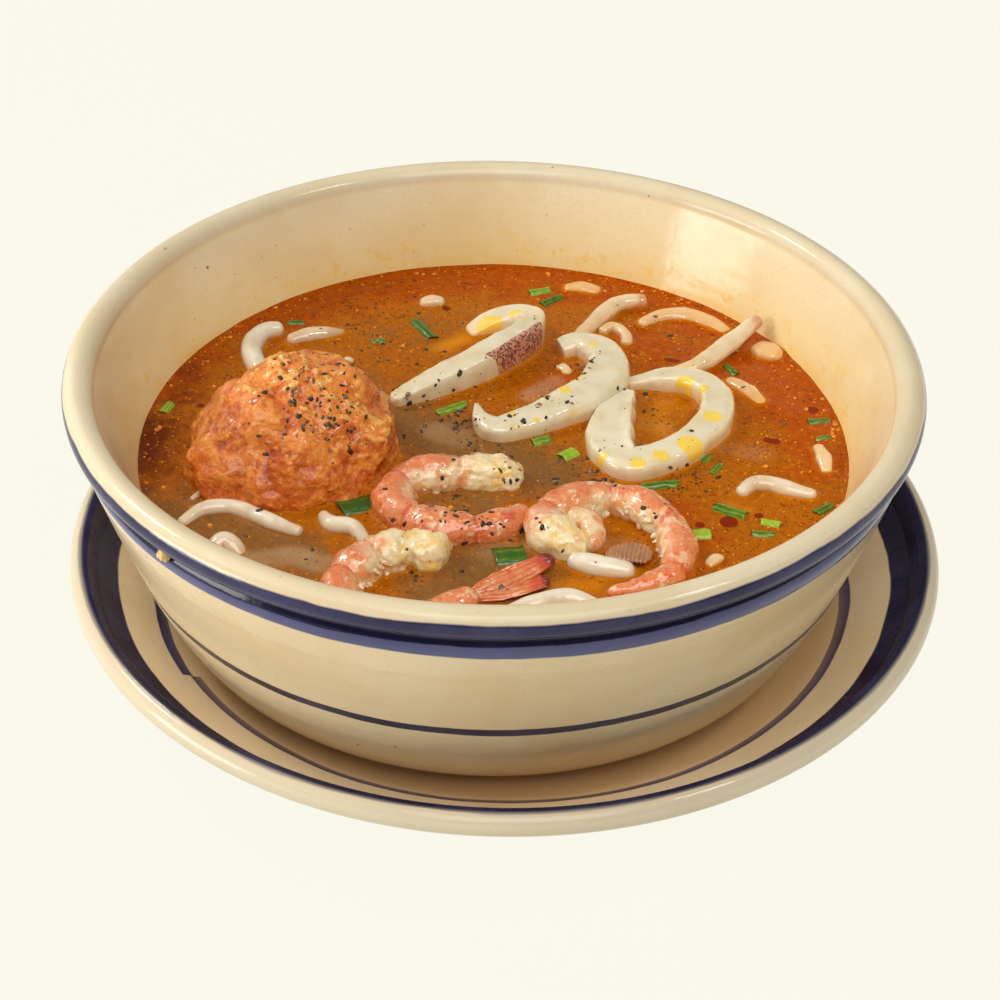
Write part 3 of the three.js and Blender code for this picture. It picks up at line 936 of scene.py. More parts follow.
@dataclass
class LongBody:
    """A long soft body along a route, with round ends.

    Attributes:
        route: the places that its middle passes through.
        widths: its widths at even steps along it.
        heights: its heights, where they differ from its widths.
        square: 2 for an oval section, more for a boxy one.
        blunt: the length of its round ends, in widths.
        fine: the distance between its points.
        swell: how much fatter it is at a share of its length and a side, -1 to 1.
        ridge: the heights of a ridge that runs along its top.
        ridge_side: which side the ridge is on, from -1 to 1.
    """

    route: Sequence[Place]
    widths: Sequence[float]
    heights: Sequence[float] = ()
    square: float = 2.0
    blunt: float = 0.4
    fine: float = 0.45
    swell: Swell | None = None
    ridge: Sequence[float] = (0, 0)
    ridge_side: float = 0.0
    END_RINGS: ClassVar[int] = 7
    LEAST_AROUND: ClassVar[int] = 12
    LEAST_ALONG: ClassVar[int] = 6
    RIDGE_WIDTH: ClassVar[float] = 0.35

    def add_to(self, build: bmesh.types.BMesh, main: float = 0.0) -> None:
        """Adds it to a bmesh, with each point's share of the length, side, rise and a given mark.

        Args:
            build: the bmesh that takes it.
            main: the mark, which tells a body from what is added to it.
        """
        curve = Route(self.route)
        heights = self.heights or self.widths
        cap = min(self.widths[0], self.widths[-1]) * self.blunt
        girth = math.pi * (max(self.widths) + max(heights)) / 2
        around = max(self.LEAST_AROUND, 2 * round(girth / 2 / self.fine))
        rings = 2 * self.END_RINGS + max(self.LEAST_ALONG, round((curve.length - 2 * cap) / self.fine))
        kept = build.verts.layers.float
        layers = [kept.get(name) or kept.new(name) for name in ("along", "side", "rise", "main")]
        made = bmesh.ops.create_uvsphere(build, u_segments=around, v_segments=rings, radius=1)["verts"]
        unit = np.array([corner.co for corner in made])
        ring = np.round(np.arccos(np.clip(unit[:, 2], -1, 1)) / math.pi * rings)
        inset = np.minimum(ring, rings - ring)
        quarter = np.minimum(inset / self.END_RINGS, 1) * math.pi / 2
        middle = np.clip((ring - self.END_RINGS) / (rings - 2 * self.END_RINGS), 0, 1)
        reach = cap + (curve.length - 2 * cap) * middle
        reach = reach - np.where(ring < rings / 2, 1, -1) * cap * np.cos(quarter)
        share = reach / curve.length
        angle = np.arctan2(unit[:, 1], unit[:, 0])
        side, rise = np.cos(angle), np.sin(angle)
        forward = curve.forward(reach)
        right = np.cross(forward, (0, 0, 1))
        right /= np.linalg.norm(right, axis=1)[:, None]
        top = np.cross(right, forward)
        fullness = np.sin(quarter) * (self.swell(share, side) if self.swell else 1)
        across = self.sized(self.widths, share) / 2 * fullness * self.squared(side)
        upward = self.sized(heights, share) / 2 * fullness * self.squared(rise)
        crest = np.exp(-(((side - self.ridge_side) / self.RIDGE_WIDTH) ** 2)) * np.clip(rise, 0, 1)
        upward += self.sized(self.ridge, share) * crest * fullness
        places = curve.at(reach) + right * across[:, None] + top * upward[:, None]
        for corner, place, *numbers in zip(made, places, share, side, rise):
            corner.co = place
            for layer, number in zip(layers, (*numbers, main)):
                corner[layer] = number

    @staticmethod
    def sized(sizes: Sequence[float], share: np.ndarray) -> np.ndarray:
        """Gives the size at each share of the length."""
        return np.interp(share, np.linspace(0, 1, len(sizes)), sizes)

    def squared(self, part: np.ndarray) -> np.ndarray:
        """Pushes a round section's points out towards its corners."""
        return np.sign(part) * np.abs(part) ** (2 / self.square)


def shaped(name: str, bodies: Sequence[LongBody]) -> Shape:
    """Makes one shape of a few long bodies.

    Args:
        name: the piece's name.
        bodies: the bodies that it is grown together from.

    Returns:
        The shape.
    """
    build = bmesh.new()
    for body in bodies:
        body.add_to(build)
    bmesh.ops.recalc_face_normals(build, faces=build.faces)
    return Shape(name, build)


# ---------------------------------------------------------------- dishes


def arc(centre: Pair, radius: float, start: float, end: float, steps: int) -> list:
    """Gives points of a round edge; angles in degrees, 0 outwards and 90 up."""
    angles = np.radians(np.linspace(start, end, steps + 1))
    return [(centre[0] + radius * math.cos(a), centre[1] + radius * math.sin(a)) for a in angles]


def wall(places: Sequence[Pair], steps: int) -> list:
    """Gives points of a smooth wall through a few places.

    Args:
        places: the places, radius and height.
        steps: how many points lie between one place and the next.

    Returns:
        The points.
    """
    ends = [places[0], *places, places[-1]]
    found = []
    for a, b, c, d in zip(ends, ends[1:], ends[2:], ends[3:]):
        a, b, c, d = (np.array(p, float) for p in (a, b, c, d))
        for share in np.linspace(0, 1, steps, endpoint=False):
            leaving, arriving = (c - a) / 2, (d - b) / 2
            found.append(tuple(
                b + leaving * share + (3 * (c - b) - 2 * leaving - arriving) * share**2
                + (2 * (b - c) + leaving + arriving) * share**3
            ))
    return [*found, tuple(places[-1])]


def floor_of(start: float, end: float, height: float, steps: int) -> list:
    """Gives points of a flat stretch between two radii."""
    return [(r, height) for r in np.linspace(start, end, steps + 1)]


@dataclass
class Dishes:
    """The stoneware bowl and the plate that it stands on."""

    turns: int = 224
    foot_round: float = 0.9
    bare_height: float = 1.3
    plate_bead: float = 3.0
    plate_lip: float = 29.4
    plate_foot: float = 58.0
    plate_under: float = 3.7
    well_radius: float = 62.0
    well_height: float = 8.7
    bowl_bead: float = 3.57
    bowl_foot: float = 56.4
    bowl_under: float = 12.6
    floor_height: float = 18.0
    inner_wall: Sequence[Pair] = (
        (92.8, 77.2), (88.9, 67), (SOUP_RADIUS, SOUP_LEVEL), (78.2, 40), (69, 27), (54, 20), (36, 18),
    )
    bowl_bands: Sequence[Band] = (
        Band(68.7, 74.0, 0.6, 0.48, sway=0.8, toward=-45), Band(73.6, 79.4, 0.5, 0.82),
        Band(71.5, 74.4, 0.35, 1.0, sway=0.4, toward=180), Band(39.7, 42.4, 0.3, 0.9),
    )
    plate_bands: Sequence[Band] = (Band(94.6, 103.9, 0.5, 0.95), Band(83.3, 86.2, 0.35, 0.75, 1.9))
    plate_gap: float = math.radians(-149)
    lip_steps_bare: int = 10
    under_steps: int = 24
    rim_steps_painted: int = 14

    def turned(
        self, name: str, profile: Sequence[Pair], first_painted: int, last_painted: int
    ) -> Shape:
        """Turns a profile about the upright axis.

        Args:
            name: the piece's name.
            profile: its points, radius and height, from the axis below to the axis above.
            first_painted: the first point on the side that is painted.
            last_painted: the last of them.

        Returns:
            The shape.
        """
        build = bmesh.new()
        painted = build.verts.layers.float.new("painted")
        corners = [build.verts.new((r, 0, z)) for r, z in profile]
        for corner in corners[first_painted:last_painted + 1]:
            corner[painted] = 1.0
        edges = [build.edges.new(pair) for pair in zip(corners, corners[1:])]
        bmesh.ops.spin(
            build, geom=[*corners, *edges], cent=(0, 0, 0), axis=(0, 0, 1), dvec=(0, 0, 0),
            angle=math.tau, steps=self.turns, use_merge=True,
        )
        bmesh.ops.remove_doubles(build, verts=build.verts, dist=1e-3)
        bmesh.ops.recalc_face_normals(build, faces=build.faces)
        return Shape(name, build)

    def plate(self) -> Shape:
        """Makes the plate: foot ring, sloping side, beaded lip and flat well.

        Returns:
            The shape.
        """
        outer, bead, round_edge = self.plate_foot, self.plate_bead, self.foot_round
        lip = (PLATE_HIGH.x - bead, self.plate_lip)
        under = [
            *floor_of(0, outer - 7.5, self.plate_under, 30),
            *arc((outer - 6 + round_edge, round_edge), round_edge, 180, 270, 5),
            *arc((outer - round_edge, round_edge), round_edge, -90, 0, 5),
            (outer + 0.5, 2.4), (outer + 1.6, 3.5),
            *wall([(64, 4.2), (76, 8.2), (92, 17.6), (102.4, 25.6)], 15),
        ]
        top = [
            *arc(lip, bead, -45, 135, 22),
            *wall([
                (99.4, 27.7), (94.8, 24), (84.8, 17.6), (74, 11.4), (self.well_radius, self.well_height),
            ], 14),
            *floor_of(self.well_radius - 1, 0, self.well_height, 40),
        ]
        first_painted = len(under) + self.lip_steps_bare
        shape = self.turned("plate", under + top, first_painted, len(under) + len(top))
        self.bare_foot(shape, 0)
        return shape

    def bowl(self) -> Shape:
        """Makes the bowl: foot ring, deep wall, a groove under the rim's bead, and the inside.

        Returns:
            The shape.
        """
        outer, bead, low, round_edge = self.bowl_foot, self.bowl_bead, BOWL_LOW.z, self.foot_round
        rim = (BOWL_HIGH.x - BOWL_X - bead, BOWL_HIGH.z - bead)
        outside = [
            *floor_of(0, outer - 6.9, self.bowl_under, self.under_steps),
            *arc((outer - 5.4 + round_edge, low + round_edge), round_edge, 180, 270, 5),
            *arc((outer - round_edge, low + round_edge), round_edge, -90, 0, 5),
            (outer + 0.4, 11.4), (outer + 1.5, 12.2),
            *wall([(66, 12.7), (74, 16.2), (79.4, 21), (85.8, 34), (89, 43), (93.3, 56), (97.2, 69)], 11),
            (97.45, 70.4), (97.4, 71.6), (96.9, 72.4), (96.55, 73.1), (96.6, 73.8), (97.3, 74.3),
            (98.2, 74.7),
        ]
        rim_points = arc(rim, bead, -42, 172, 34)
        inside = [*wall(self.inner_wall, 12), *floor_of(35, 0, self.floor_height, 26)]
        last_painted = len(outside) + self.rim_steps_painted
        shape = self.turned("bowl", outside + rim_points + inside, self.under_steps, last_painted)
        self.bare_foot(shape, low)
        return shape

    def bare_foot(self, shape: Shape, low: float) -> None:
        """Leaves the foot's standing ring without glaze."""
        shape.paint("bare", ramp(shape.points[:, 2], low + self.bare_height, low + self.bare_height * 0.6))

    def make(self) -> None:
        """Makes both dishes and sets them down."""
        glaze = Glaze()
        plate_glaze = glaze.material("plate_glaze", 0, Measure.RADIUS, self.plate_bands, self.plate_gap)
        bowl_glaze = glaze.material(
            "bowl_glaze", BOWL_X, Measure.HEIGHT, self.bowl_bands, waterline=SOUP_LEVEL
        )
        self.plate().set_down(plate_glaze, Slot.GLAZE, ["plate"], (0, 0, 0))
        self.bowl().set_down(bowl_glaze, Slot.GLAZE, ["bowl"], (BOWL_X, 0, 0))


# ---------------------------------------------------------------- squid


@dataclass
class Squid:
    """Cut squid: broad knife-cut bands from the body, tentacles and small bits."""

    swell: Pair = (0.35, 9.0)
    ripple: Pair = (0.1, 2.4)
    skin_start: Pair = (0.4, 0.425)
    skin_end: Pair = (0.66, 0.64)
    veils: dict[str, float] = field(default_factory=lambda: {
        "tentacle_left": 0.35, "tentacle_right": 0.3, "squid_shred": 0.5, "squid_crescent": 0.5,
        "squid_curl": 0.4, "squid_lump_right": 0.6, "squid_lump_back": 0.6, "squid_bit": 0.3,
        "squid_leaf": 0.35,
    })
    oil_drops: Sequence[tuple[float, float, float]] = (
        (33.7, -14.6, 1.9), (39.1, -11.6, 2.1), (46.4, -6.9, 3.3), (52.5, 4.4, 2.4), (46.8, 20.8, 2.4),
        (25.7, -11.1, 1.3), (51.5, 17.3, 1.4), (27.6, -17.4, 1.2), (22.2, 31.6, 1.5), (17.2, 14.6, 1.5),
        (12.2, 12.2, 1.1), (19.6, 20.4, 2.2), (4.4, 5.0, 1.0), (-1.6, 49.4, 3.4), (5.0, 51.4, 1.6),
        (24.8, 36.6, 1.2), (47.6, 28.4, 1.6), (10.2, 3.2, 0.8),
    )

    def shapes(self) -> dict[str, Shape]:
        """Makes every squid piece, by the name of the node that it stands for.

        Returns:
            The shapes by name.
        """
        bodies = {
            "squid_loop": LongBody(
                [(33.2, 19, 1.2), (28.8, 6, 1), (28.2, -5.6, 0.5), (32, -11.8, 0.5), (39, -9.6, 0.6),
                 (47.6, -2.4, 0.8), (53.6, 8, 1), (53.8, 19, 1), (48.4, 24.8, 1), (40.4, 25.6, 0.6),
                 (32.6, 24.2, 0)],
                (3.6, 9.6, 12.4, 10, 8.8, 8.4, 8.6, 8.8, 8.2, 6.6, 3),
                (5, 7.4, 7.4, 8, 8, 8, 8, 8, 7.6, 6.6, 4.6), 4,
                ridge=(0, 1.4, 2.2, 1.2, 0.5, 0.5, 0.6, 0.6, 0.4, 0.4, 0), ridge_side=-0.55,
            ),
            "squid_hook": LongBody(
                [(-4.4, 10.4, 3.4), (-3, 5.4, 2), (0.4, 2.4, 1), (7.6, 5, 0.8), (17, 11.4, 1),
                 (25.4, 19, 1.2), (28.4, 28.6, 1.4), (26.6, 38, 1.2), (21.4, 42, 0.8), (16.6, 40.6, 0)],
                (0.8, 7, 8.4, 9.4, 11.4, 12, 10.6, 8.4, 6.4),
                (1.8, 6.6, 7.8, 8.4, 9, 9, 8.4, 7.6, 6.6), 3.4,
                ridge=(0, 0, 0.3, 0.8, 1, 1, 0.6, 0, 0), ridge_side=-0.7,
            ),
            "squid_strip": LongBody(
                [(-25.4, 14.8, 1), (-16, 20.8, 1.6), (-6.2, 27.6, 2), (2.8, 36, 2.4), (8.4, 43.2, 2.6),
                 (9.2, 48.8, 2.4), (5.8, 52.8, 1.6), (-0.6, 52.4, 0.4), (-7, 49.6, -1.8)],
                (3.6, 6.4, 7.6, 8.2, 8, 7.2, 6.8, 6.6, 5), (3.4, 6.6, 8.4, 10, 11.4, 10.4, 8.4, 7, 5.4), 5,
                ridge=(0, 0.2, 0.4, 0.6, 1, 1, 0.8, 0.6, 0), ridge_side=0.75,
            ),
            "tentacle_left": LongBody(
                [(17, 40.4, -1.4), (24.2, 52, 0.6), (32.4, 63, 1.4), (40, 65.4, 1)],
                (3, 4.6, 5, 4.4), (2.6, 3.8, 4.2, 4),
            ),
            "tentacle_right": LongBody(
                [(43, 31, -0.6), (51.6, 33.6, 1.4), (59, 41, 2.6), (68, 49.4, 5.8)],
                (3.4, 5.2, 5.4, 3.4), (3, 4.4, 4.4, 3.2),
            ),
            "squid_shred": LongBody(
                [(58.4, 28.8, 0.4), (63, 23.6, 0.4), (66.6, 17.6, -0.2)], (3, 4.4, 3), (1.8, 2.2, 1.8),
            ),
            "squid_crescent": LongBody(
                [(37.6, 54.6, 0), (43.4, 58.8, 0.3), (50, 59.6, 0.3), (56, 56.6, 0.1), (60.6, 51.6, -0.5)],
                (2.6, 4.6, 5.4, 5.2, 3.6), (2.6, 3.4, 3.6, 3.4, 2.6),
            ),
            "squid_curl": LongBody(
                [(27, 50, 0), (30.4, 51.6, 1), (33.4, 48.6, 0.8), (34, 44, 0)], (3.2, 3.2),
            ),
            "squid_lump_right": LongBody(
                [(66.4, 44.6, 0), (70, 41, 0.4), (73, 38.4, 0)], (5, 7, 5), (3.6, 4.2, 3.6), 3,
            ),
            "squid_lump_back": LongBody(
                [(18, 73.6, -0.6), (23, 73.4, 0), (28, 71.4, -0.6)], (3.6, 5, 3.6), (3, 3.6, 3), 3,
            ),
            "squid_bit": LongBody(
                [(-20, 63.4, 0), (-16.6, 64.2, 0.6), (-13.4, 64.2, 0)], (3, 4.4, 3), (3, 3.6, 3), 3,
            ),
            "squid_leaf": LongBody(
                [(77.6, -1, 0), (78.4, -6.4, 0.6), (78.6, -12, -0.4)], (2.6, 4.2, 2.6), (3, 3.8, 2.6), 3,
            ),
        }
        return {name: self.dressed(shaped(name, [body])) for name, body in bodies.items()}

    def dressed(self, shape: Shape) -> Shape:
        """Gives a piece its soft unevenness, its oil drops, its skin and its flush.

        Args:
            shape: a bare shape of long bodies.

        Returns:
            The same shape.
        """
        shape.ruffle(*self.swell, 2)
        shape.ruffle(*self.ripple, 2)
        points = shape.points
        drops = [
            ramp(np.hypot(points[:, 0] - x, (points[:, 1] - y) * 1.1), radius * 1.25, radius * 0.75)
            for x, y, radius in self.oil_drops
        ]
        shape.paint("oil", np.max(drops, axis=0) * (points[:, 2] > 1))
        along, side, rise = (shape.painted(name) for name in ("along", "side", "rise"))
        skin, flush = np.zeros(len(points)), np.zeros(len(points))
        if shape.name == "squid_strip":
            skin = ramp(along + rise * 0.04, *self.skin_start) * ramp(along, *self.skin_end)
            skin = skin * ramp(side, 0.1, 0.3) * ramp(rise, -0.85, -0.6)
        elif shape.name.startswith("tentacle"):
            flush = ramp(along, 0.8, 1.0) + ramp(np.abs(side), 0.8, 1.0) * 0.5
        elif shape.name in ("squid_shred", "squid_curl"):
            flush = 0.45 + 0.4 * ramp(np.abs(side), 0.5, 1.0)
        shape.paint("skin", skin)
        shape.paint("flush", flush)
        shape.paint("veil", np.full(len(points), self.veils.get(shape.name, 0.0)))
        return shape


# ---------------------------------------------------------------- noodles


@dataclass
class Noodles:
    """Thick rice noodles, where they ride above the soup, and a flake of shell."""

    taper: float = 0.72
    fine: float = 0.36
    bend: Pair = (0.22, 6.0)
    ribs: float = 70.0
    rib_height: float = 0.2
    veil: float = 0.1
    veils: dict[str, float] = field(default_factory=lambda: {
        "noodle_back": 0.4, "noodle_strand": 0.4, "noodle_left": 0.3, "noodle_right": 0.25,
    })

    def shapes(self) -> dict[str, Shape]:
        """Makes every noodle, by the name of the node that it stands for.

        Returns:
            The shapes by name.
        """
        routes = {
            "noodle_crook": (5.6, [
                (-55.6, 24, -0.4), (-60.2, 31.6, 0.8), (-62, 39.4, 1.2), (-59.6, 46.4, 1.4),
                (-54.6, 48.6, 1.2),
            ]),
            "noodle_back": (4.8, [(-53.4, 43.6, 0.4), (-47.4, 46.6, 0.4), (-38.6, 50, -1.6)]),
            "noodle_right": (4.4, [
                (57, -21.6, 0.4), (60.6, -18, 0.8), (65, -17.8, 0.6), (70, -20, 0.5), (75.2, -21.4, 0),
            ]),
            "noodle_middle": (5.6, [(16.6, -47.6, 0.8), (22, -49.8, 0.8), (31.6, -51.6, 0.2)]),
            "noodle_rim": (5.0, [(2.6, -66.4, 0), (10, -63.6, 0.6), (17.4, -61.6, 0.6), (24, -64, -0.4)]),
            "noodle_arc": (4.2, [
                (-71, -35.8, 0), (-66.4, -30.6, 0.8), (-60.2, -29.4, 0.8), (-54.2, -32.4, 0.8),
                (-48.6, -36.2, 1), (-42.8, -38.8, 0.6),
            ]),
            "noodle_left": (4.6, [(-63.8, -47.4, -1.8), (-60.2, -42.6, 0.8), (-55, -46.4, -1.6)]),
            "noodle_ribbon": (4.2, [
                (-39, -31, 0.2), (-36.4, -36, 1), (-31.6, -37.2, 1.2), (-28, -41.4, -0.6),
            ]),
            "noodle_strand": (2.0, [
                (-72.4, -9.6, 0.2), (-69.6, -16, 0.6), (-66.8, -21.6, 0.6), (-69.4, -26.4, 0.4),
            ]),
        }
        found = {}
        for name, (thick, route) in routes.items():
            widths = (thick * self.taper, thick, thick, thick * self.taper)
            found[name] = self.dressed(shaped(name, [LongBody(route, widths, fine=self.fine)]))
        flake = self.dressed(shaped("shell_flake", [LongBody(
            [(25.2, -45.4, 0.9), (29.4, -45.8, 1.8), (35.4, -46.8, 1.6)], (4, 7, 6), (1.2, 1.2), 3,
            fine=0.24,
        )]))
        flake.push(np.cos(flake.painted("along") * self.ribs) * self.rib_height)
        found[flake.name] = flake
        return found

    def dressed(self, shape: Shape) -> Shape:
        """Gives a noodle its slight unevenness.

        Args:
            shape: a bare noodle.

        Returns:
            The same shape.
        """
        shape.ruffle(*self.bend, 2)
        for attribute in ("oil", "skin", "flush"):
            shape.paint(attribute, np.zeros(len(shape.mesh.vertices)))
        veil = self.veils.get(shape.name, self.veil)
        shape.paint("veil", np.full(len(shape.mesh.vertices), veil))
        return shape


# ---------------------------------------------------------------- shrimp


class Curl(Enum):
    """The side of a shrimp's route that its back is on."""

    BACK_LEFT = -1
    BACK_RIGHT = 1


@dataclass
class Shrimp:
    """A peeled shrimp that lies on its side, curled, with its back outwards."""

    name: str
    route: Sequence[Place]
    sizes: Sequence[float]
    curl: Curl
    segments: int = 5
    cream_end: float = 0.2
    torn: float = 0.0
    tip_start: float = 2.0
    extra: Sequence[LongBody] = ()
    bulge: float = 0.06
    crease_width: float = 0.07
    crease_depth: float = 0.05
    belly_crease: float = 0.1
    first_leg: float = 0.26
    last_leg: float = 0.78
    leg_step: float = 0.045
    loose: Pair = (0.45, 4.4)
    fine_relief: Pair = (0.1, 1.5)

    def swelling(self, share: np.ndarray, side: np.ndarray) -> np.ndarray:
        """Gives how each segment bulges between its creases, which are deeper at the belly.

        Args:
            share: the shares of its length, from head to tail.
            side: the sides, from -1 to 1.

        Returns:
            How fat it is, about 1.
        """
        place = share * self.segments
        crease = np.exp(-((place - np.round(place)) / self.crease_width) ** 2) * (place > 0.5)
        belly = ramp(side * self.curl.value, 0.2, -0.9)
        deep = self.crease_depth + self.belly_crease * belly
        return 1 - self.bulge * np.cos(math.tau * place) - crease * deep

    def legs(self) -> list[LongBody]:
        """Makes the ragged stubs along the belly.

        Returns:
            The stubs.
        """
        curve = Route(self.route)
        draw = random.Random(self.name)
        found = []
        for share in np.arange(self.first_leg, self.last_leg, self.leg_step):
            reach = np.array([share * curve.length])
            middle, forward = curve.at(reach)[0], curve.forward(reach)[0]
            inward = np.cross(forward, (0, 0, 1)) * -self.curl.value
            size = float(LongBody.sized(self.sizes, np.array([share]))[0])
            root = middle + inward * size * 0.34 + np.array((0, 0, draw.uniform(-0.6, 1.8)))
            end = root + inward * draw.uniform(1.6, 2.8) + forward * draw.uniform(-1.6, 1.6)
            end[2] -= draw.uniform(0.2, 1.2)
            thick = draw.uniform(1.3, 2.2)
            route = [tuple(root), tuple((root + end) / 2 + (0, 0, 0.2)), tuple(end)]
            widths = (thick * 1.3, thick, thick * 0.4)
            found.append(LongBody(route, widths, (thick, thick * 0.7, thick * 0.3), fine=0.3))
        return found

    def shape(self) -> Shape:
        """Makes the shrimp's shape and its numbers for the material.

        Returns:
            The shape.
        """
        body = LongBody(self.route, self.sizes, blunt=0.5, fine=0.42, swell=self.swelling)
        build = bmesh.new()
        body.add_to(build, 1.0)
        for part in (*self.legs(), *self.extra):
            part.add_to(build)
        bmesh.ops.recalc_face_normals(build, faces=build.faces)
        shape = Shape(self.name, build)
        on_body = shape.painted("main") > 0.5
        along, side = shape.painted("along"), shape.painted("side")
        head = ramp(along, self.cream_end, self.cream_end * 0.45) * on_body
        shape.ruffle(*self.loose, 3)
        shape.ruffle(*self.fine_relief, 2)
        shape.ruffle(self.torn * 0.7, self.loose[1], 2, head)
        shape.ruffle(self.torn * 0.45, self.fine_relief[1], 3, head)
        place = along * self.segments
        shape.paint("back", np.where(on_body, side * self.curl.value, -0.6))
        shape.paint("cream", np.where(on_body, head, 0.3))
        shape.paint("joint", np.exp(-((place - np.round(place)) / 0.05) ** 2) * on_body)
        shape.paint("tip", ramp(along, self.tip_start, self.tip_start + 0.18) * on_body)
        return shape


@dataclass
class TailFan:
    """A shrimp's last segments with two tail blades spread from them."""

    name: str = "shrimp_tail"
    body: Sequence[Place] = ((-19, -69, -5), (-12, -65.5, -1.5), (-3, -60.5, 1))
    blades: Sequence[Sequence[Place]] = (
        ((-4, -61, 1.2), (4, -56, 2), (13.4, -49, 2.6)),
        ((-4, -61.5, 0.8), (4, -59, 1.4), (12.6, -56.4, 1.8)),
    )
    ribs: float = 13.0
    rib_height: float = 0.16

    def shape(self) -> Shape:
        """Makes the tail's shape. The blades darken to their tips.

        Returns:
            The shape.
        """
        build = bmesh.new()
        LongBody(self.body, (9, 8, 5.5), blunt=0.5, fine=0.4).add_to(build, 1.0)
        for route in self.blades:
            LongBody(route, (3.4, 6.6, 5.8, 3.6), (2.2, 1.6, 1.3), blunt=0.4, fine=0.3).add_to(build)
        bmesh.ops.recalc_face_normals(build, faces=build.faces)
        shape = Shape(self.name, build)
        on_body = shape.painted("main") > 0.5
        along, side, rise = (shape.painted(name) for name in ("along", "side", "rise"))
        ribs = np.cos(side * self.ribs)
        shape.push(ribs * self.rib_height * ~on_body * (np.abs(rise) > 0.2))
        shape.ruffle(0.2, 3, 3)
        shape.paint("back", np.where(on_body, 0.5, 0.8))
        shape.paint("cream", np.zeros(len(along)))
        shape.paint("joint", np.where(on_body, 0, ramp(ribs, 0.2, -0.8)))
        shape.paint("tip", np.where(on_body, 0, ramp(along, 0.55, 1.05)))
        return shape


def shrimps() -> dict[str, Shape]:
    """Makes the four shrimps, by the name of the node that each stands for.

    Returns:
        The shapes by name.
    """
    neck = LongBody(
        [(16.6, -34.6, 2.2), (20.6, -35.6, 2.6), (22.6, -39.6, 2.2), (21.6, -44.6, 0.8)],
        (7, 6.6, 5.8, 4.6), blunt=0.5, fine=0.38,
    )
    found = [
        Shrimp(
            "shrimp_middle",
            [(21.8, -44, 0.2), (15.6, -42, 1.4), (11.8, -36.8, 1.8), (15.4, -30.4, 1.8), (23.6, -26.6, 1.8),
             (33, -28.8, 1.8), (39.6, -36.6, 1.8), (41.2, -46.6, 1.4), (39, -53.4, 1), (32, -57.4, 1),
             (25, -59.6, 0.8)],
            (8.4, 10.6, 10.4, 9.4, 9, 9, 9, 8.6, 7.6, 4.4, 2.6), Curl.BACK_LEFT, torn=0.3, tip_start=0.95,
            extra=[neck],
        ),
        Shrimp(
            "shrimp_left",
            [(7.2, -17, 1.2), (-2, -16.2, 1.4), (-12.4, -16.6, 1.4), (-20.2, -19.8, 1.4),
             (-23.2, -26.4, 1.2), (-20.2, -33, 1.2), (-13, -37.4, 1.4), (-3.6, -38.2, 1.4),
             (3.4, -35, 1), (8.4, -30.4, 0.6)],
            (7.6, 9.6, 10.4, 10, 9.6, 9.6, 9.4, 8.8, 8, 6.4), Curl.BACK_RIGHT, cream_end=0.27, torn=0.55,
        ),
        Shrimp(
            "shrimp_front",
            [(-10, -49.6, 1.6), (-15.6, -46.8, 1.8), (-23.4, -47.8, 1.6), (-30, -53, 1.4), (-33.4, -60, 1),
             (-31.6, -67, 0), (-26, -71, -1.6)],
            (9.4, 10.4, 10.4, 10, 9.2, 8, 6), Curl.BACK_RIGHT, cream_end=0.56, torn=0.35,
        ),
    ]
    shapes = {shrimp.name: shrimp.shape() for shrimp in found}
    tail = TailFan()
    shapes[tail.name] = tail.shape()
    return shapes


# ---------------------------------------------------------------- meatball


DRAW_STEP, DRAW_RANGE = 16807, 2147483647


def draws(seed: int) -> Callable[[], float]:
    """Gives the same repeatable numbers from 0 to 1 as the solid's surface uses.

    Args:
        seed: the number that the draws start from.

    Returns:
        What gives the next number.
    """
    state = seed

    def draw() -> float:
        """Gives the next number.

        Returns:
            A number from 0 to 1.
        """
        nonlocal state
        state = state * DRAW_STEP % DRAW_RANGE
        return state / DRAW_RANGE

    return draw


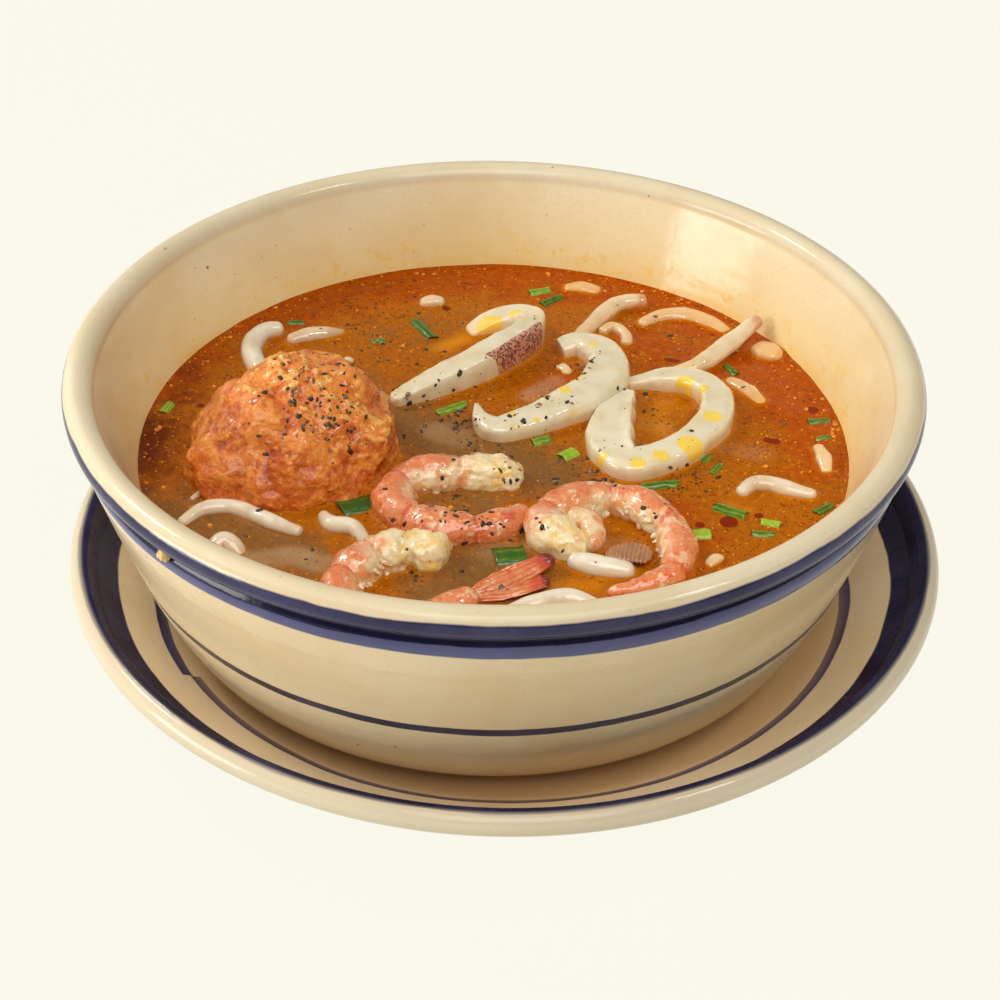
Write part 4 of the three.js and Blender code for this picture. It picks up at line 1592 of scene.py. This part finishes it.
@dataclass
class Meatball:
    """The rough hand-shaped ball: waves at random slants, folds, torn knobs and fine mince.

    Attributes:
        knobs: the torn knobs' directions, heights and spreads. The lumps are smaller ones.
        swell: the height and pitch of its soft unevenness, like fold, coarse, fine and grit.
        flake_arc: the directions that the arc of raised flakes runs through.
    """

    middle: Place = (-47, -7.4, 1)
    radii: Place = (24.2, 21.6, 21)
    seed: int = 41
    roughness: float = 2.2
    waves: int = 14
    pitches: Pair = (3, 9)
    knobs: Sequence[tuple[Place, float, float]] = (
        ((-0.74, -0.62, 0.1), 2.6, 0.22), ((0.45, 0.3, 0.84), 1.4, 0.35),
    )
    lumps: Sequence[tuple[Place, float, float]] = (
        ((-0.82, -0.5, 0.3), 2.0, 0.1), ((-0.7, -0.7, 0.16), 2.4, 0.12), ((-0.6, -0.8, 0.02), 1.8, 0.1),
        ((-0.86, -0.44, 0.06), 2.2, 0.12), ((-0.5, -0.82, 0.3), 1.0, 0.1), ((0.3, -0.9, 0.2), 1.0, 0.14),
    )
    swell: Pair = (1.1, 8.0)
    fold: Pair = (1.2, 10.0)
    coarse: Pair = (0.6, 3.8)
    fine: Pair = (0.35, 1.9)
    grit: Pair = (0.22, 1.6)
    flakes: int = 60
    flake_height: float = 0.6
    flake_arc: tuple[Place, Place, Place] = ((-0.35, 0.2, 0.92), (0.3, -0.1, 0.95), (0.86, -0.2, 0.5))
    flake_spread: float = 0.17
    flake_length: Pair = (0.035, 0.08)
    flake_width: Pair = (0.022, 0.045)

    def shape(self) -> Shape:
        """Makes the ball and keeps how far each place stands out.

        Returns:
            The shape.
        """
        build = bmesh.new()
        bmesh.ops.create_icosphere(build, subdivisions=7, radius=1)
        shape = Shape("meatball", build)
        unit = shape.points / np.linalg.norm(shape.points, axis=1)[:, None]
        draw = draws(self.seed)
        swell = np.zeros(len(unit))
        for _ in range(self.waves):
            slant = np.array([draw() - 0.5, draw() - 0.5, draw() - 0.5])
            pitch, start = self.pitches[0] + self.pitches[1] * draw(), 6.28 * draw()
            swell += self.roughness / pitch * np.sin(pitch * unit @ (slant / np.linalg.norm(slant)) + start)
        for toward, height, spread in (*self.knobs, *self.lumps):
            direction = np.array(toward) / np.linalg.norm(toward)
            swell += height * np.exp(-(1 - unit @ direction) / spread**2)
        flake = self.flaked(unit)
        places = unit * np.array(self.radii)
        (swell_height, swell_pitch), (fold_height, fold_pitch) = self.swell, self.fold
        (coarse_height, coarse_pitch), (fine_height, fine_pitch) = self.coarse, self.fine
        grit_height, grit_pitch = self.grit
        lumps = clouds(places, swell_pitch, 2) * swell_height
        folds = -np.abs(clouds(places + 40, fold_pitch, 2)) * fold_height + 0.4
        bits = grains(places, coarse_pitch) * coarse_height + grains(places + 9, fine_pitch) * fine_height
        bits = bits - 0.55
        fine = clouds(places, grit_pitch, 3) * grit_height
        relief = lumps + folds + bits + fine + flake * self.flake_height
        shape.points = places + unit * (swell + relief)[:, None] + np.array(self.middle)
        # how far each place stands out, from which the material paints light on the raised places and shade
        # in the hollows
        shape.paint("peak", np.clip(folds * 0.5 + bits + fine * 2, -1, 1))
        shape.paint("flake", flake)
        return shape

    def flaked(self, unit: np.ndarray) -> np.ndarray:
        """Gives how much of a raised flake is at each point; they lie along an arc over the top.

        Args:
            unit: the points' directions from the ball's middle.

        Returns:
            The height of the flakes, from 0 to 1.
        """
        draw = random.Random("flakes")
        start, middle, end = (np.array(toward) for toward in self.flake_arc)
        found = np.zeros(len(unit))
        for _ in range(self.flakes):
            share = draw.random()
            direction = start * (1 - share) ** 2 + middle * 2 * share * (1 - share) + end * share**2
            direction = direction + np.array([draw.gauss(0, self.flake_spread) for _ in range(3)])
            direction /= np.linalg.norm(direction)
            along = np.cross(direction, [draw.gauss(0, 1) for _ in range(3)])
            along /= np.linalg.norm(along)
            apart = unit - direction
            length, width = draw.uniform(*self.flake_length), draw.uniform(*self.flake_width)
            reach = ((apart @ along) / length) ** 2
            off = np.sum(apart**2, axis=1) - (apart @ along) ** 2
            found = np.maximum(found, np.exp(-((reach + off / width**2) ** 2)))
        return found


# ---------------------------------------------------------------- soup


class Tint(Enum):
    """The colours that show in the soup."""

    RUST = "rust"
    MURK = "murk"
    DEEP = "deep"
    PALE = "pale"
    GOLD = "gold"
    HERB = "herb"
    DROP = "drop"


@dataclass(frozen=True)
class Patch:
    """A soft patch of one tint, round a place or along a stretch of the soup.

    Attributes:
        tint: which of the soup's colours.
        reach: how far it spreads to each side.
        places: the places that it runs through.
        strength: how strong it is in its middle.
    """

    tint: Tint
    reach: float
    places: Sequence[Pair]
    strength: float = 1.0
    SHARP: ClassVar[int] = 4
    SOFT: ClassVar[int] = 2
    SHORTEST: ClassVar[float] = 1e-9

    def over(self, points: np.ndarray) -> np.ndarray:
        """Gives its strength at each point of the soup.

        Args:
            points: the points, seen from above.

        Returns:
            The strengths, from 0 to its own.
        """
        stretch = np.array(self.places, float)
        nearest = np.full(len(points), np.inf)
        for start, end in zip(stretch, [*stretch[1:], stretch[-1]]):
            line = end - start
            share = np.clip((points - start) @ line / max(line @ line, self.SHORTEST), 0, 1)
            nearest = np.minimum(nearest, np.linalg.norm(points - start - share[:, None] * line, axis=1))
        sharp = self.SHARP if self.tint in (Tint.DROP, Tint.PALE) else self.SOFT
        return self.strength * np.exp(-(nearest / self.reach) ** sharp)


@dataclass
class Soup:
    """The soup: a body that fills the bowl and reaches just into its wall."""

    squares: int = 290
    edge: float = SOUP_RADIUS + 0.6
    most_cling: float = 1.2
    food_rise: float = 0.5
    food_reach: float = 0.8
    farthest: float = 9.0
    waves: Pair = (0.12, 16.0)
    into_wall: Pair = (0.15, 0.1)
    halo: Pair = (0.5, 1.1)
    patches: Sequence[Patch] = (
        Patch(Tint.RUST, 13, [(-62, 55), (-40, 72), (0, 80), (40, 72), (66, 48), (80, 20)], 1.0),
        Patch(Tint.RUST, 10, [(37, 47), (50, 40), (66, 30), (76, 10), (78, -8)], 0.9),
        Patch(Tint.RUST, 9, [(16, 26), (18, 14)], 0.9),
        Patch(Tint.RUST, 8, [(-80, 20), (-72, 40)], 0.8),
        Patch(Tint.RUST, 7, [(42, -24), (48, -40), (42, -54)], 0.6),
        Patch(Tint.DEEP, 10, [(-84, -14), (-83, 4)], 0.8),
        Patch(Tint.DEEP, 9, [(-80, 10), (-76, 32)], 0.5),
        Patch(Tint.DEEP, 12, [(-78, -22), (-68, -10)], 0.3),
        Patch(Tint.MURK, 13, [(-72, -32), (-60, -40), (-44, -48)], 0.95),
        Patch(Tint.MURK, 12, [(-26, 10), (-14, 2), (4, -6), (14, -14)], 1.0),
        Patch(Tint.MURK, 10, [(-46, 22), (-34, 28), (-24, 20)], 0.5),
        Patch(Tint.MURK, 9, [(-10, -26), (-2, -26)], 0.8),
        Patch(Tint.MURK, 12, [(-6, -48), (4, -52), (-12, -62)], 1.0),
        Patch(Tint.MURK, 8, [(-30, 46), (-10, 60), (-20, 40)], 0.4),
        Patch(Tint.PALE, 4.5, [(-52.2, -48.2), (-44.5, -46.5), (-36.3, -49.7)], 0.5),
        Patch(Tint.PALE, 7, [(-40, -56), (-26, -58)], 0.12),
        Patch(Tint.PALE, 3.6, [(9, 20), (15, 27)], 0.5),
        Patch(Tint.PALE, 3.4, [(-76, 12.7), (-69.6, 12.9)], 0.2),
        Patch(Tint.PALE, 2.4, [(-70, -3), (-64, -1)], 0.3),
        Patch(Tint.PALE, 5, [(-14, 4), (-8, 1)], 0.4),
        Patch(Tint.PALE, 4, [(38, 8), (42, 6)], 0.3),
        Patch(Tint.PALE, 4.5, [(56, -2), (64, -4)], 0.3),
        Patch(Tint.PALE, 4, [(26, -41), (32, -42)], 0.35),
        Patch(Tint.PALE, 5, [(0, -44), (6, -40)], 0.35),
        Patch(Tint.GOLD, 4, [(-8, 47), (-14, 42)], 0.6),
        Patch(Tint.GOLD, 3, [(54, -24), (58, -27)], 0.5),
        Patch(Tint.GOLD, 3.4, [(10, -56), (22, -56)], 0.5),
        Patch(Tint.GOLD, 7, [(38, 6), (42, 14)], 0.55),
        Patch(Tint.GOLD, 5, [(-30, 62), (0, 62)], 0.3),
        Patch(Tint.HERB, 6, [(-36, 62), (-26, 58)], 0.8),
        Patch(Tint.HERB, 5, [(46, -15), (42, -18)], 1.0),
        Patch(Tint.HERB, 3.5, [(-66, 28)], 0.8),
        Patch(Tint.HERB, 4, [(-8, 8), (-6, 2)], 0.6),
        Patch(Tint.HERB, 6, [(16, -8), (20, -12)], 0.6),
        Patch(Tint.DROP, 2.4, [(53.9, -31.6)]),
        Patch(Tint.DROP, 1.3, [(47.2, -32.9)]),
        Patch(Tint.DROP, 1.2, [(61, -29)]),
        Patch(Tint.DROP, 1.8, [(78.5, 15.5)], 0.8),
        Patch(Tint.DROP, 1.5, [(66, 2), (68, 1.4)], 0.7),
        Patch(Tint.DROP, 1.4, [(-13, 62)], 0.8),
        Patch(Tint.DROP, 1.2, [(-72, 14)], 0.9),
        Patch(Tint.DROP, 1.6, [(44, 38), (46, 37.4)], 0.6),
    )

    def shape(self, food: BVHTree) -> Shape:
        """Makes the soup, raised where it clings to the bowl and to the food.

        Args:
            food: the pieces in the soup, to measure from.

        Returns:
            The shape.
        """
        build = bmesh.new()
        bmesh.ops.create_grid(build, x_segments=self.squares, y_segments=self.squares, size=1)
        for corner in build.verts:
            x, y, _ = corner.co
            across, along = x * math.sqrt(1 - y * y / 2), y * math.sqrt(1 - x * x / 2)
            corner.co = (across * self.edge, along * self.edge, 0)
        rim = [edge for edge in build.edges if edge.is_boundary]
        for radius, height in self.side():
            made = bmesh.ops.extrude_edge_only(build, edges=rim)["geom"]
            rim = [part for part in made if isinstance(part, bmesh.types.BMEdge)]
            lower = [part for part in made if isinstance(part, bmesh.types.BMVert)]
            for corner in lower:
                scale = radius / math.hypot(corner.co.x, corner.co.y)
                corner.co = (corner.co.x * scale, corner.co.y * scale, height)
        bmesh.ops.pointmerge(build, verts=lower, merge_co=(0, 0, height))
        bmesh.ops.recalc_face_normals(build, faces=build.faces)
        shape = Shape("soup", build)
        self.dress(shape, food)
        return shape

    def side(self) -> list[Pair]:
        """Gives the radius and height of the body's rings below the soup's level, in the wall."""
        outward, down = self.into_wall
        return [(r + outward, z - SOUP_LEVEL - down) for r, z in wall(Dishes().inner_wall[2:], 2)[1:]]

    def dress(self, shape: Shape, food: BVHTree) -> None:
        """Lifts the surface at its edges and paints the tints.

        Args:
            shape: the soup.
            food: the pieces in it, to measure from.
        """
        points = shape.points
        top = points[:, 2] > -0.5
        flat = points[:, :2]
        radius = np.linalg.norm(flat, axis=1)
        gap = np.full(len(points), self.farthest)
        for i in np.flatnonzero(top):
            *_, distance = food.find_nearest(Vector(points[i]), self.farthest)
            if distance is not None:
                gap[i] = distance
        climb = np.exp(-(SOUP_RADIUS + CLING_START - radius) / CLING_REACH).clip(max=self.most_cling)
        lift = CLING_RISE * climb
        lift += self.food_rise * np.exp(-gap / self.food_reach)
        wave_height, wave_pitch = self.waves
        lift += clouds(points, wave_pitch, 2) * wave_height
        points[top, 2] += lift[top]
        shape.points = points
        for tint in Tint:
            strengths = [patch.over(flat) for patch in self.patches if patch.tint is tint]
            shape.paint(tint.value, np.max(strengths, axis=0))
        strength, reach = self.halo
        halo = np.exp(-((gap / reach) ** 2)) * strength * (1 - shape.painted("murk") * 0.5)
        shape.paint("gold", np.maximum(shape.painted("gold"), halo))


# ---------------------------------------------------------------- small things


@dataclass
class SpringOnion:
    """Cut spring onion that floats: short strips of its hollow leaves, and rings."""

    slices: Sequence[tuple[float, float, float, float, float, float]] = (
        # x, y, length, width, turn in degrees, tone
        (-18.5, 51, 10, 3.4, -58, 0.1), (11.8, 71.4, 6, 3, 20, 0.5), (14.7, 66.6, 6.4, 3, 42, 0.1),
        (-51.9, 53.7, 4.6, 2.2, 0, 0.2), (-30.1, 45.2, 3.6, 2, 0, 0.3), (-80.3, 12.5, 4, 2.8, 70, 0.6),
        (-31, -27, 9, 6.4, 20, 0.0), (-10.6, 13.8, 8, 3, 32, 0.45), (11.3, 0.2, 4.6, 3.4, 25, 0.4),
        (17.7, -5.4, 4.4, 4, 40, 0.8), (3.9, -45.4, 7, 6.6, 10, 0.1), (39, -17.6, 8.4, 3, 12, 0.25),
        (50.4, -6.6, 4, 2.2, 50, 0.3), (52.6, -10.6, 4.6, 2.2, 62, 0.3), (59.8, 33.2, 4.6, 2.4, -60, 0.2),
        (79.2, 10.4, 5.2, 2.6, 12, 0.2), (79.4, 3.2, 3.8, 1.8, 14, 0.3), (54.6, -27.6, 7.6, 3.4, -28, 0.3),
        (47.2, -36.6, 4.2, 4, 0, 1.0), (61.2, -36.2, 5, 2.4, 0, 0.3), (63.4, -32, 4.6, 2.6, -20, 0.9),
        (76, -26.4, 5, 2.8, 40, 0.2),
    )
    steps_along: int = 16
    steps_across: int = 14
    thick: float = 0.5
    bulge: float = 0.9
    ragged: Pair = (0.2, 0.6)
    lean: float = 0.12
    widest_round: float = 3.2
    flattened: float = 0.75
    wave: float = 0.3
    sunk: float = 0.25
    pale_edge: float = 0.42
    paler: float = 0.25

    def shape(self) -> Shape:
        """Makes all the slices as one piece.

        Returns:
            The shape.
        """
        build = bmesh.new()
        tone_of, vein_of = (build.verts.layers.float.new(name) for name in ("tone", "vein"))
        draw = random.Random("spring onion")
        for x, y, length, width, turn, tone in self.slices:
            made = bmesh.ops.create_grid(
                build, x_segments=self.steps_along, y_segments=self.steps_across, size=0.5,
            )["verts"]
            ragged, lean = draw.uniform(*self.ragged), draw.uniform(-self.lean, self.lean)
            angle = math.radians(turn)
            for corner in made:
                u, v = corner.co.x, corner.co.y
                bend = v * math.pi * self.bulge
                along = u * length * (1 + ragged * 0.14 * math.sin(7 * v + x)) + lean * v * width
                across = math.sin(bend) * width / 2
                up = math.cos(bend) * min(width, self.widest_round) / 2 * self.flattened
                up = up + noise.noise((x + u * 3, y, v * 2)) * self.wave - self.sunk
                corner[tone_of] = tone + (self.paler if abs(v) > self.pale_edge else 0)
                corner[vein_of] = v
                corner.co = (
                    x + along * math.cos(angle) - across * math.sin(angle),
                    y + along * math.sin(angle) + across * math.cos(angle), up,
                )
            faces = list({face for corner in made for face in corner.link_faces})
            bmesh.ops.solidify(build, geom=faces, thickness=self.thick)
        bmesh.ops.recalc_face_normals(build, faces=build.faces)
        return Shape("spring_onion", build)


@dataclass
class Pepper:
    """Cracked pepper: flecks strewn in clusters over the food and the soup.

    Attributes:
        clusters: the middle, spread and number of flecks of each cluster.
        strewn: how many lie scattered over the whole soup.
    """

    clusters: Sequence[tuple[float, float, float, int]] = (
        (-40, 0, 11, 120), (-36, -6, 8, 40), (-46, 10, 8, 30), (-44, 26, 10, 20), (-8, 8, 4.5, 46),
        (-8.5, 14, 3, 14), (-6, 0, 3.5, 16), (5, 8, 3, 8), (11, 13, 3, 8), (22, 33, 3.5, 16),
        (26, 36, 2, 6), (22, 25, 3, 5), (17, 13, 3, 5), (2, -4, 2.5, 9), (-12.7, 21, 6, 8),
        (-4, 30, 5, 4), (22.5, -14, 3, 12), (28, -19, 4, 16), (26, -6, 4, 7), (35, -2, 4, 5),
        (49, -1, 3, 3), (39.5, 13, 4, 9), (34, 21, 3, 6), (-10, -28, 8, 30), (-5, -36, 4, 22),
        (-18, -36, 7, 18), (1.6, -37, 3, 6), (5, -16, 5, 16), (13, -15, 5, 10), (16, 1, 5, 10),
        (7.6, 14, 4, 8), (20, 25, 3, 5), (-22, 18, 7, 22), (-16, 13, 5, 12), (-21, 4, 5, 10),
        (-24, 40, 9, 26), (-36, 50, 8, 14), (48, -13, 5, 14), (-52, -37, 4, 5), (-29, -40, 5, 5),
        (-29, -28, 5, 10), (12, -38, 4, 5), (37, -30, 6, 6), (-20, -54, 6, 5), (60, -30, 8, 7),
        (66, -42, 3, 3), (20, -48, 6, 5), (-66, 26, 4, 10), (46, 55, 8, 4), (60, 26, 8, 6),
    )
    gather: float = 0.55
    strewn: int = 110
    falling: Vector = field(default_factory=lambda: Vector((0, 0.6, -0.8)))
    thrown_from: float = 60.0
    margin: float = 2.0
    small: float = 0.22
    large: float = 1.05

    def shape(self, ground: BVHTree) -> Shape:
        """Drops every fleck onto what lies below it.

        Args:
            ground: the food and the soup.

        Returns:
            The shape.
        """
        draw = random.Random("pepper")
        places = [
            (draw.gauss(x, spread * self.gather), draw.gauss(y, spread * self.gather))
            for x, y, spread, count in self.clusters for _ in range(count)
        ]
        for _ in range(self.strewn):
            angle, radius = draw.uniform(0, math.tau), STREWN_RADIUS * math.sqrt(draw.random())
            places.append((radius * math.cos(angle), radius * math.sin(angle)))
        build = bmesh.new()
        tone_of = build.verts.layers.float.new("tone")
        for x, y in places:
            start = Vector((x, y, 0)) - self.falling * self.thrown_from
            hit, normal, _, _ = ground.ray_cast(start, self.falling)
            if hit is None or math.hypot(x, y) > SOUP_RADIUS - self.margin:
                continue
            size = self.small + (self.large - self.small) * draw.random() ** 2.2
            made = bmesh.ops.create_icosphere(build, subdivisions=1, radius=1)["verts"]
            turn = normal.to_track_quat("Z", "X") @ Quaternion((0, 0, 1), draw.uniform(0, math.tau))
            sizes = (size, size * draw.uniform(0.45, 0.85), size * draw.uniform(0.25, 0.5))
            tone = draw.random() ** 1.8 + (0.4 if draw.random() < 0.15 else 0)
            for corner in made:
                ragged = draw.uniform(0.7, 1.15)
                corner[tone_of] = tone
                corner.co = hit + turn @ Vector([c * s * ragged for c, s in zip(corner.co, sizes)])
        LOG.info("pepper: %d flecks thrown", len(places))
        return Shape("pepper", build)


@dataclass
class OilBeads:
    """Small beads of oil and foam, most of them against the bowl's wall."""

    arcs: Sequence[tuple[float, float, float, int]] = (
        # start and end in degrees, how far in from the wall, how many
        (-24, 30, 2.2, 60), (30, 70, 3, 40), (70, 150, 3, 34), (150, 200, 4, 12), (-24, 60, 12, 40),
    )
    strewn: int = 240
    small: float = 0.22
    large: float = 0.75
    flat: float = 0.6
    off_wall: float = 0.4

    def shape(self) -> Shape:
        """Makes all the beads as one piece.

        Returns:
            The shape.
        """
        draw = random.Random("oil beads")
        outermost = SOUP_RADIUS - self.off_wall
        places = [
            (math.radians(draw.uniform(start, end)), outermost - inset * draw.random() ** 1.5)
            for start, end, inset, count in self.arcs for _ in range(count)
        ]
        places += [
            (draw.uniform(0, math.tau), STREWN_RADIUS * math.sqrt(draw.random()))
            for _ in range(self.strewn)
        ]
        build = bmesh.new()
        for angle, radius in places:
            size = self.small + (self.large - self.small) * draw.random() ** 2.5
            made = bmesh.ops.create_icosphere(build, subdivisions=2, radius=size)["verts"]
            bmesh.ops.scale(build, verts=made, vec=(1, 1, self.flat))
            lift = CLING_RISE * math.exp(-max(SOUP_RADIUS + CLING_START - radius, 0) / CLING_REACH)
            place = (radius * math.cos(angle), radius * math.sin(angle), lift)
            bmesh.ops.translate(build, verts=made, vec=place)
        return Shape("oil_beads", build)


@dataclass
class Scraps:
    """Small pale scraps that float in the soup."""

    routes: Sequence[Sequence[Place]] = (
        ((-39, 33.4, -0.2), (-37.6, 34.6, 0.3), (-36.2, 35.9, -0.2)),
        ((18.6, 30.4, -0.2), (17.4, 32.6, 0.4), (16.2, 34.6, -0.2)),
        ((47.6, -48.2, -0.2), (49.6, -46.4, 0.4), (51.4, -44.8, -0.2)),
    )
    width: float = 2.6
    height: float = 1.9

    def shape(self) -> Shape:
        """Makes the scraps as one piece.

        Returns:
            The shape.
        """
        bodies = [
            LongBody(route, (self.width, self.width), (self.height, self.height), 3, fine=0.3)
            for route in self.routes
        ]
        shape = shaped("scraps", bodies)
        shape.ruffle(0.3, 1.6, 2)
        for attribute in ("oil", "skin", "flush", "veil"):
            shape.paint(attribute, np.zeros(len(shape.mesh.vertices)))
        return shape


@dataclass
class StuckCrumb:
    """A crumb of batter stuck under the rim, outside."""

    direction: float = math.radians(-134.5)
    radius: float = 97.6
    height: float = 73.0
    lumps: Sequence[tuple[Place, float]] = (
        ((0, 0, 0), 1.5), ((0.6, 1.3, -1.2), 1.3), ((0.2, -1.1, 1.3), 1.1),
    )
    roughness: Pair = (0.35, 0.9)
    tone: float = 0.6

    def shape(self) -> Shape:
        """Makes the crumb of a few grown-together lumps.

        Returns:
            The shape.
        """
        build = bmesh.new()
        middle = Vector((math.cos(self.direction), math.sin(self.direction), 0)) * self.radius
        middle.z = self.height
        for offset, size in self.lumps:
            made = bmesh.ops.create_icosphere(build, subdivisions=4, radius=size)["verts"]
            bmesh.ops.translate(build, verts=made, vec=middle + Vector(offset))
        shape = Shape("crumb", build)
        shape.ruffle(*self.roughness, 3)
        shape.paint("tone", np.full(len(shape.mesh.vertices), self.tone))
        return shape


class Food:
    """All the food in the bowl, made in the order in which one thing rests on another."""

    def make(self) -> None:
        """Makes each piece and sets it down."""
        squid_finish, noodle_finish, shell_finish = (flesh.material() for flesh in (SQUID, NOODLE, SHELL))
        shrimp_finish = ShrimpMeat().material()
        pieces = [(shape, squid_finish, Slot.SQUID) for shape in Squid().shapes().values()]
        pieces += [
            (shape, shell_finish if name == "shell_flake" else noodle_finish,
             Slot.SHELL if name == "shell_flake" else Slot.NOODLE)
            for name, shape in Noodles().shapes().items()
        ]
        pieces += [(shape, shrimp_finish, Slot.SHRIMP) for shape in shrimps().values()]
        pieces.append((Meatball().shape(), Mince().material(), Slot.MEATBALL))
        solids = [shape.surface() for shape, _, _ in pieces]
        soup = Soup().shape(self.tree(solids))
        ground = self.tree([*solids, soup.surface()])
        onion, pepper, scraps = SpringOnion().shape(), Pepper().shape(ground), Scraps().shape()
        for shape, finish, slot in pieces:
            shape.set_down(finish, slot, [shape.name])
        soup.set_down(Broth().material(), Slot.SOUP, ["soup"])
        onion.set_down(Green().material(), Slot.SOUP)
        pepper.set_down(PEPPER.material(), Slot.SOUP)
        scraps.set_down(squid_finish, Slot.SQUID)
        OilBeads().shape().set_down(BEAD.material(), Slot.SOUP)
        StuckCrumb().shape().set_down(CRUMB.material(), Slot.SOUP, origin=(BOWL_X, 0, 0))

    @staticmethod
    def tree(surfaces: Sequence[tuple[list[Vector], list[tuple[int, ...]]]]) -> BVHTree:
        """Joins surfaces into one, to look for places on.

        Args:
            surfaces: each piece's points and faces.

        Returns:
            The joined surface.
        """
        points, faces = [], []
        for own_points, own_faces in surfaces:
            faces += [tuple(corner + len(points) for corner in face) for face in own_faces]
            points += own_points
        return BVHTree.FromPolygons(points, faces)


# ---------------------------------------------------------------- studio


@dataclass
class Studio:
    """A pale floor, soft window light from the left and a camera at the table's edge."""

    camera_place: Place = (-3.0, -425.46, 343.62)
    camera_aim: Place = (-1.294, 0.0, 38.033)
    camera_roll: float = math.radians(0.8716)
    lens: float = 77.0
    sensor: float = 36.0
    clip: Pair = (0.01, 20.0)
    floor_size: float = 16000.0
    floor_base: Colour = linear(40, 40, 38)
    floor_colour: Colour = linear(250, 248, 235)
    floor_glow: float = 0.98
    air: Colour = (0.92, 0.95, 1.0, 1.0)
    air_strength: float = 0.26
    lamps: Sequence[tuple[str, Place, float, float, Colour]] = (
        ("window", (-780, 300, 560), 1200, 4.4, (1.0, 0.97, 0.92, 1.0)),
        ("side_panel", (-860, -300, 160), 420, 5.6, (1.0, 0.98, 0.96, 1.0)),
        ("top", (60, -500, 820), 600, 4.6, (1.0, 0.98, 0.95, 1.0)),
        ("left_bulb", (-560, 250, 640), 130, 1.6, (1.0, 0.98, 0.94, 1.0)),
        ("right_bulb", (430, -160, 760), 130, 1.0, (1.0, 0.98, 0.94, 1.0)),
    )

    def make(self) -> None:
        """Builds the floor, the lights and the camera."""
        self.floor()
        self.light()
        self.camera()
        bpy.context.scene.view_settings.view_transform = "Standard"

    def floor(self) -> None:
        """Lays the floor."""
        build = bmesh.new()
        bmesh.ops.create_grid(build, x_segments=1, y_segments=1, size=self.floor_size / 2 * MM)
        mesh = bpy.data.meshes.new("floor")
        build.to_mesh(mesh)
        build.free()
        paint = Paint("paper")
        mesh.materials.append(paint.finished(
            self.floor_base, 0.9, Emission_Color=self.floor_colour, Emission_Strength=self.floor_glow,
            Specular_IOR_Level=0.0,
        ))
        floor = bpy.data.objects.new("floor", mesh)
        bpy.context.scene.collection.objects.link(floor)

    def light(self) -> None:
        """Sets the air's even light and the soft lamps."""
        world = bpy.data.worlds.new("air")
        world.use_nodes = True
        background = world.node_tree.nodes["Background"]
        background.inputs["Color"].default_value = self.air
        background.inputs["Strength"].default_value = self.air_strength
        bpy.context.scene.world = world
        for name, place, size, power, colour in self.lamps:
            lamp = bpy.data.lights.new(name, "AREA")
            lamp.size = size * MM
            lamp.energy = power
            lamp.color = colour[:3]
            holder = bpy.data.objects.new(name, lamp)
            holder.location = Vector(place) * MM
            aim = Vector((0, 0, SOUP_LEVEL)) * MM - holder.location
            holder.rotation_euler = aim.to_track_quat("-Z", "Y").to_euler()
            bpy.context.scene.collection.objects.link(holder)

    def camera(self) -> None:
        """Places the camera."""
        data = bpy.data.cameras.new("camera")
        data.lens = self.lens
        data.sensor_width = self.sensor
        data.clip_start, data.clip_end = self.clip
        camera = bpy.data.objects.new("camera", data)
        camera.location = Vector(self.camera_place) * MM
        aim = (Vector(self.camera_aim) - Vector(self.camera_place)).to_track_quat("-Z", "Y")
        camera.rotation_mode = "QUATERNION"
        camera.rotation_quaternion = aim @ Quaternion((0, 0, 1), self.camera_roll)
        bpy.context.scene.collection.objects.link(camera)
        bpy.context.scene.camera = camera


def main() -> None:
    """Builds the studio, the dishes and the food."""
    logging.basicConfig(level=logging.INFO, format="%(name)s %(message)s")
    Studio().make()
    Dishes().make()
    Food().make()
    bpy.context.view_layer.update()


if __name__ == "__main__":
    main()
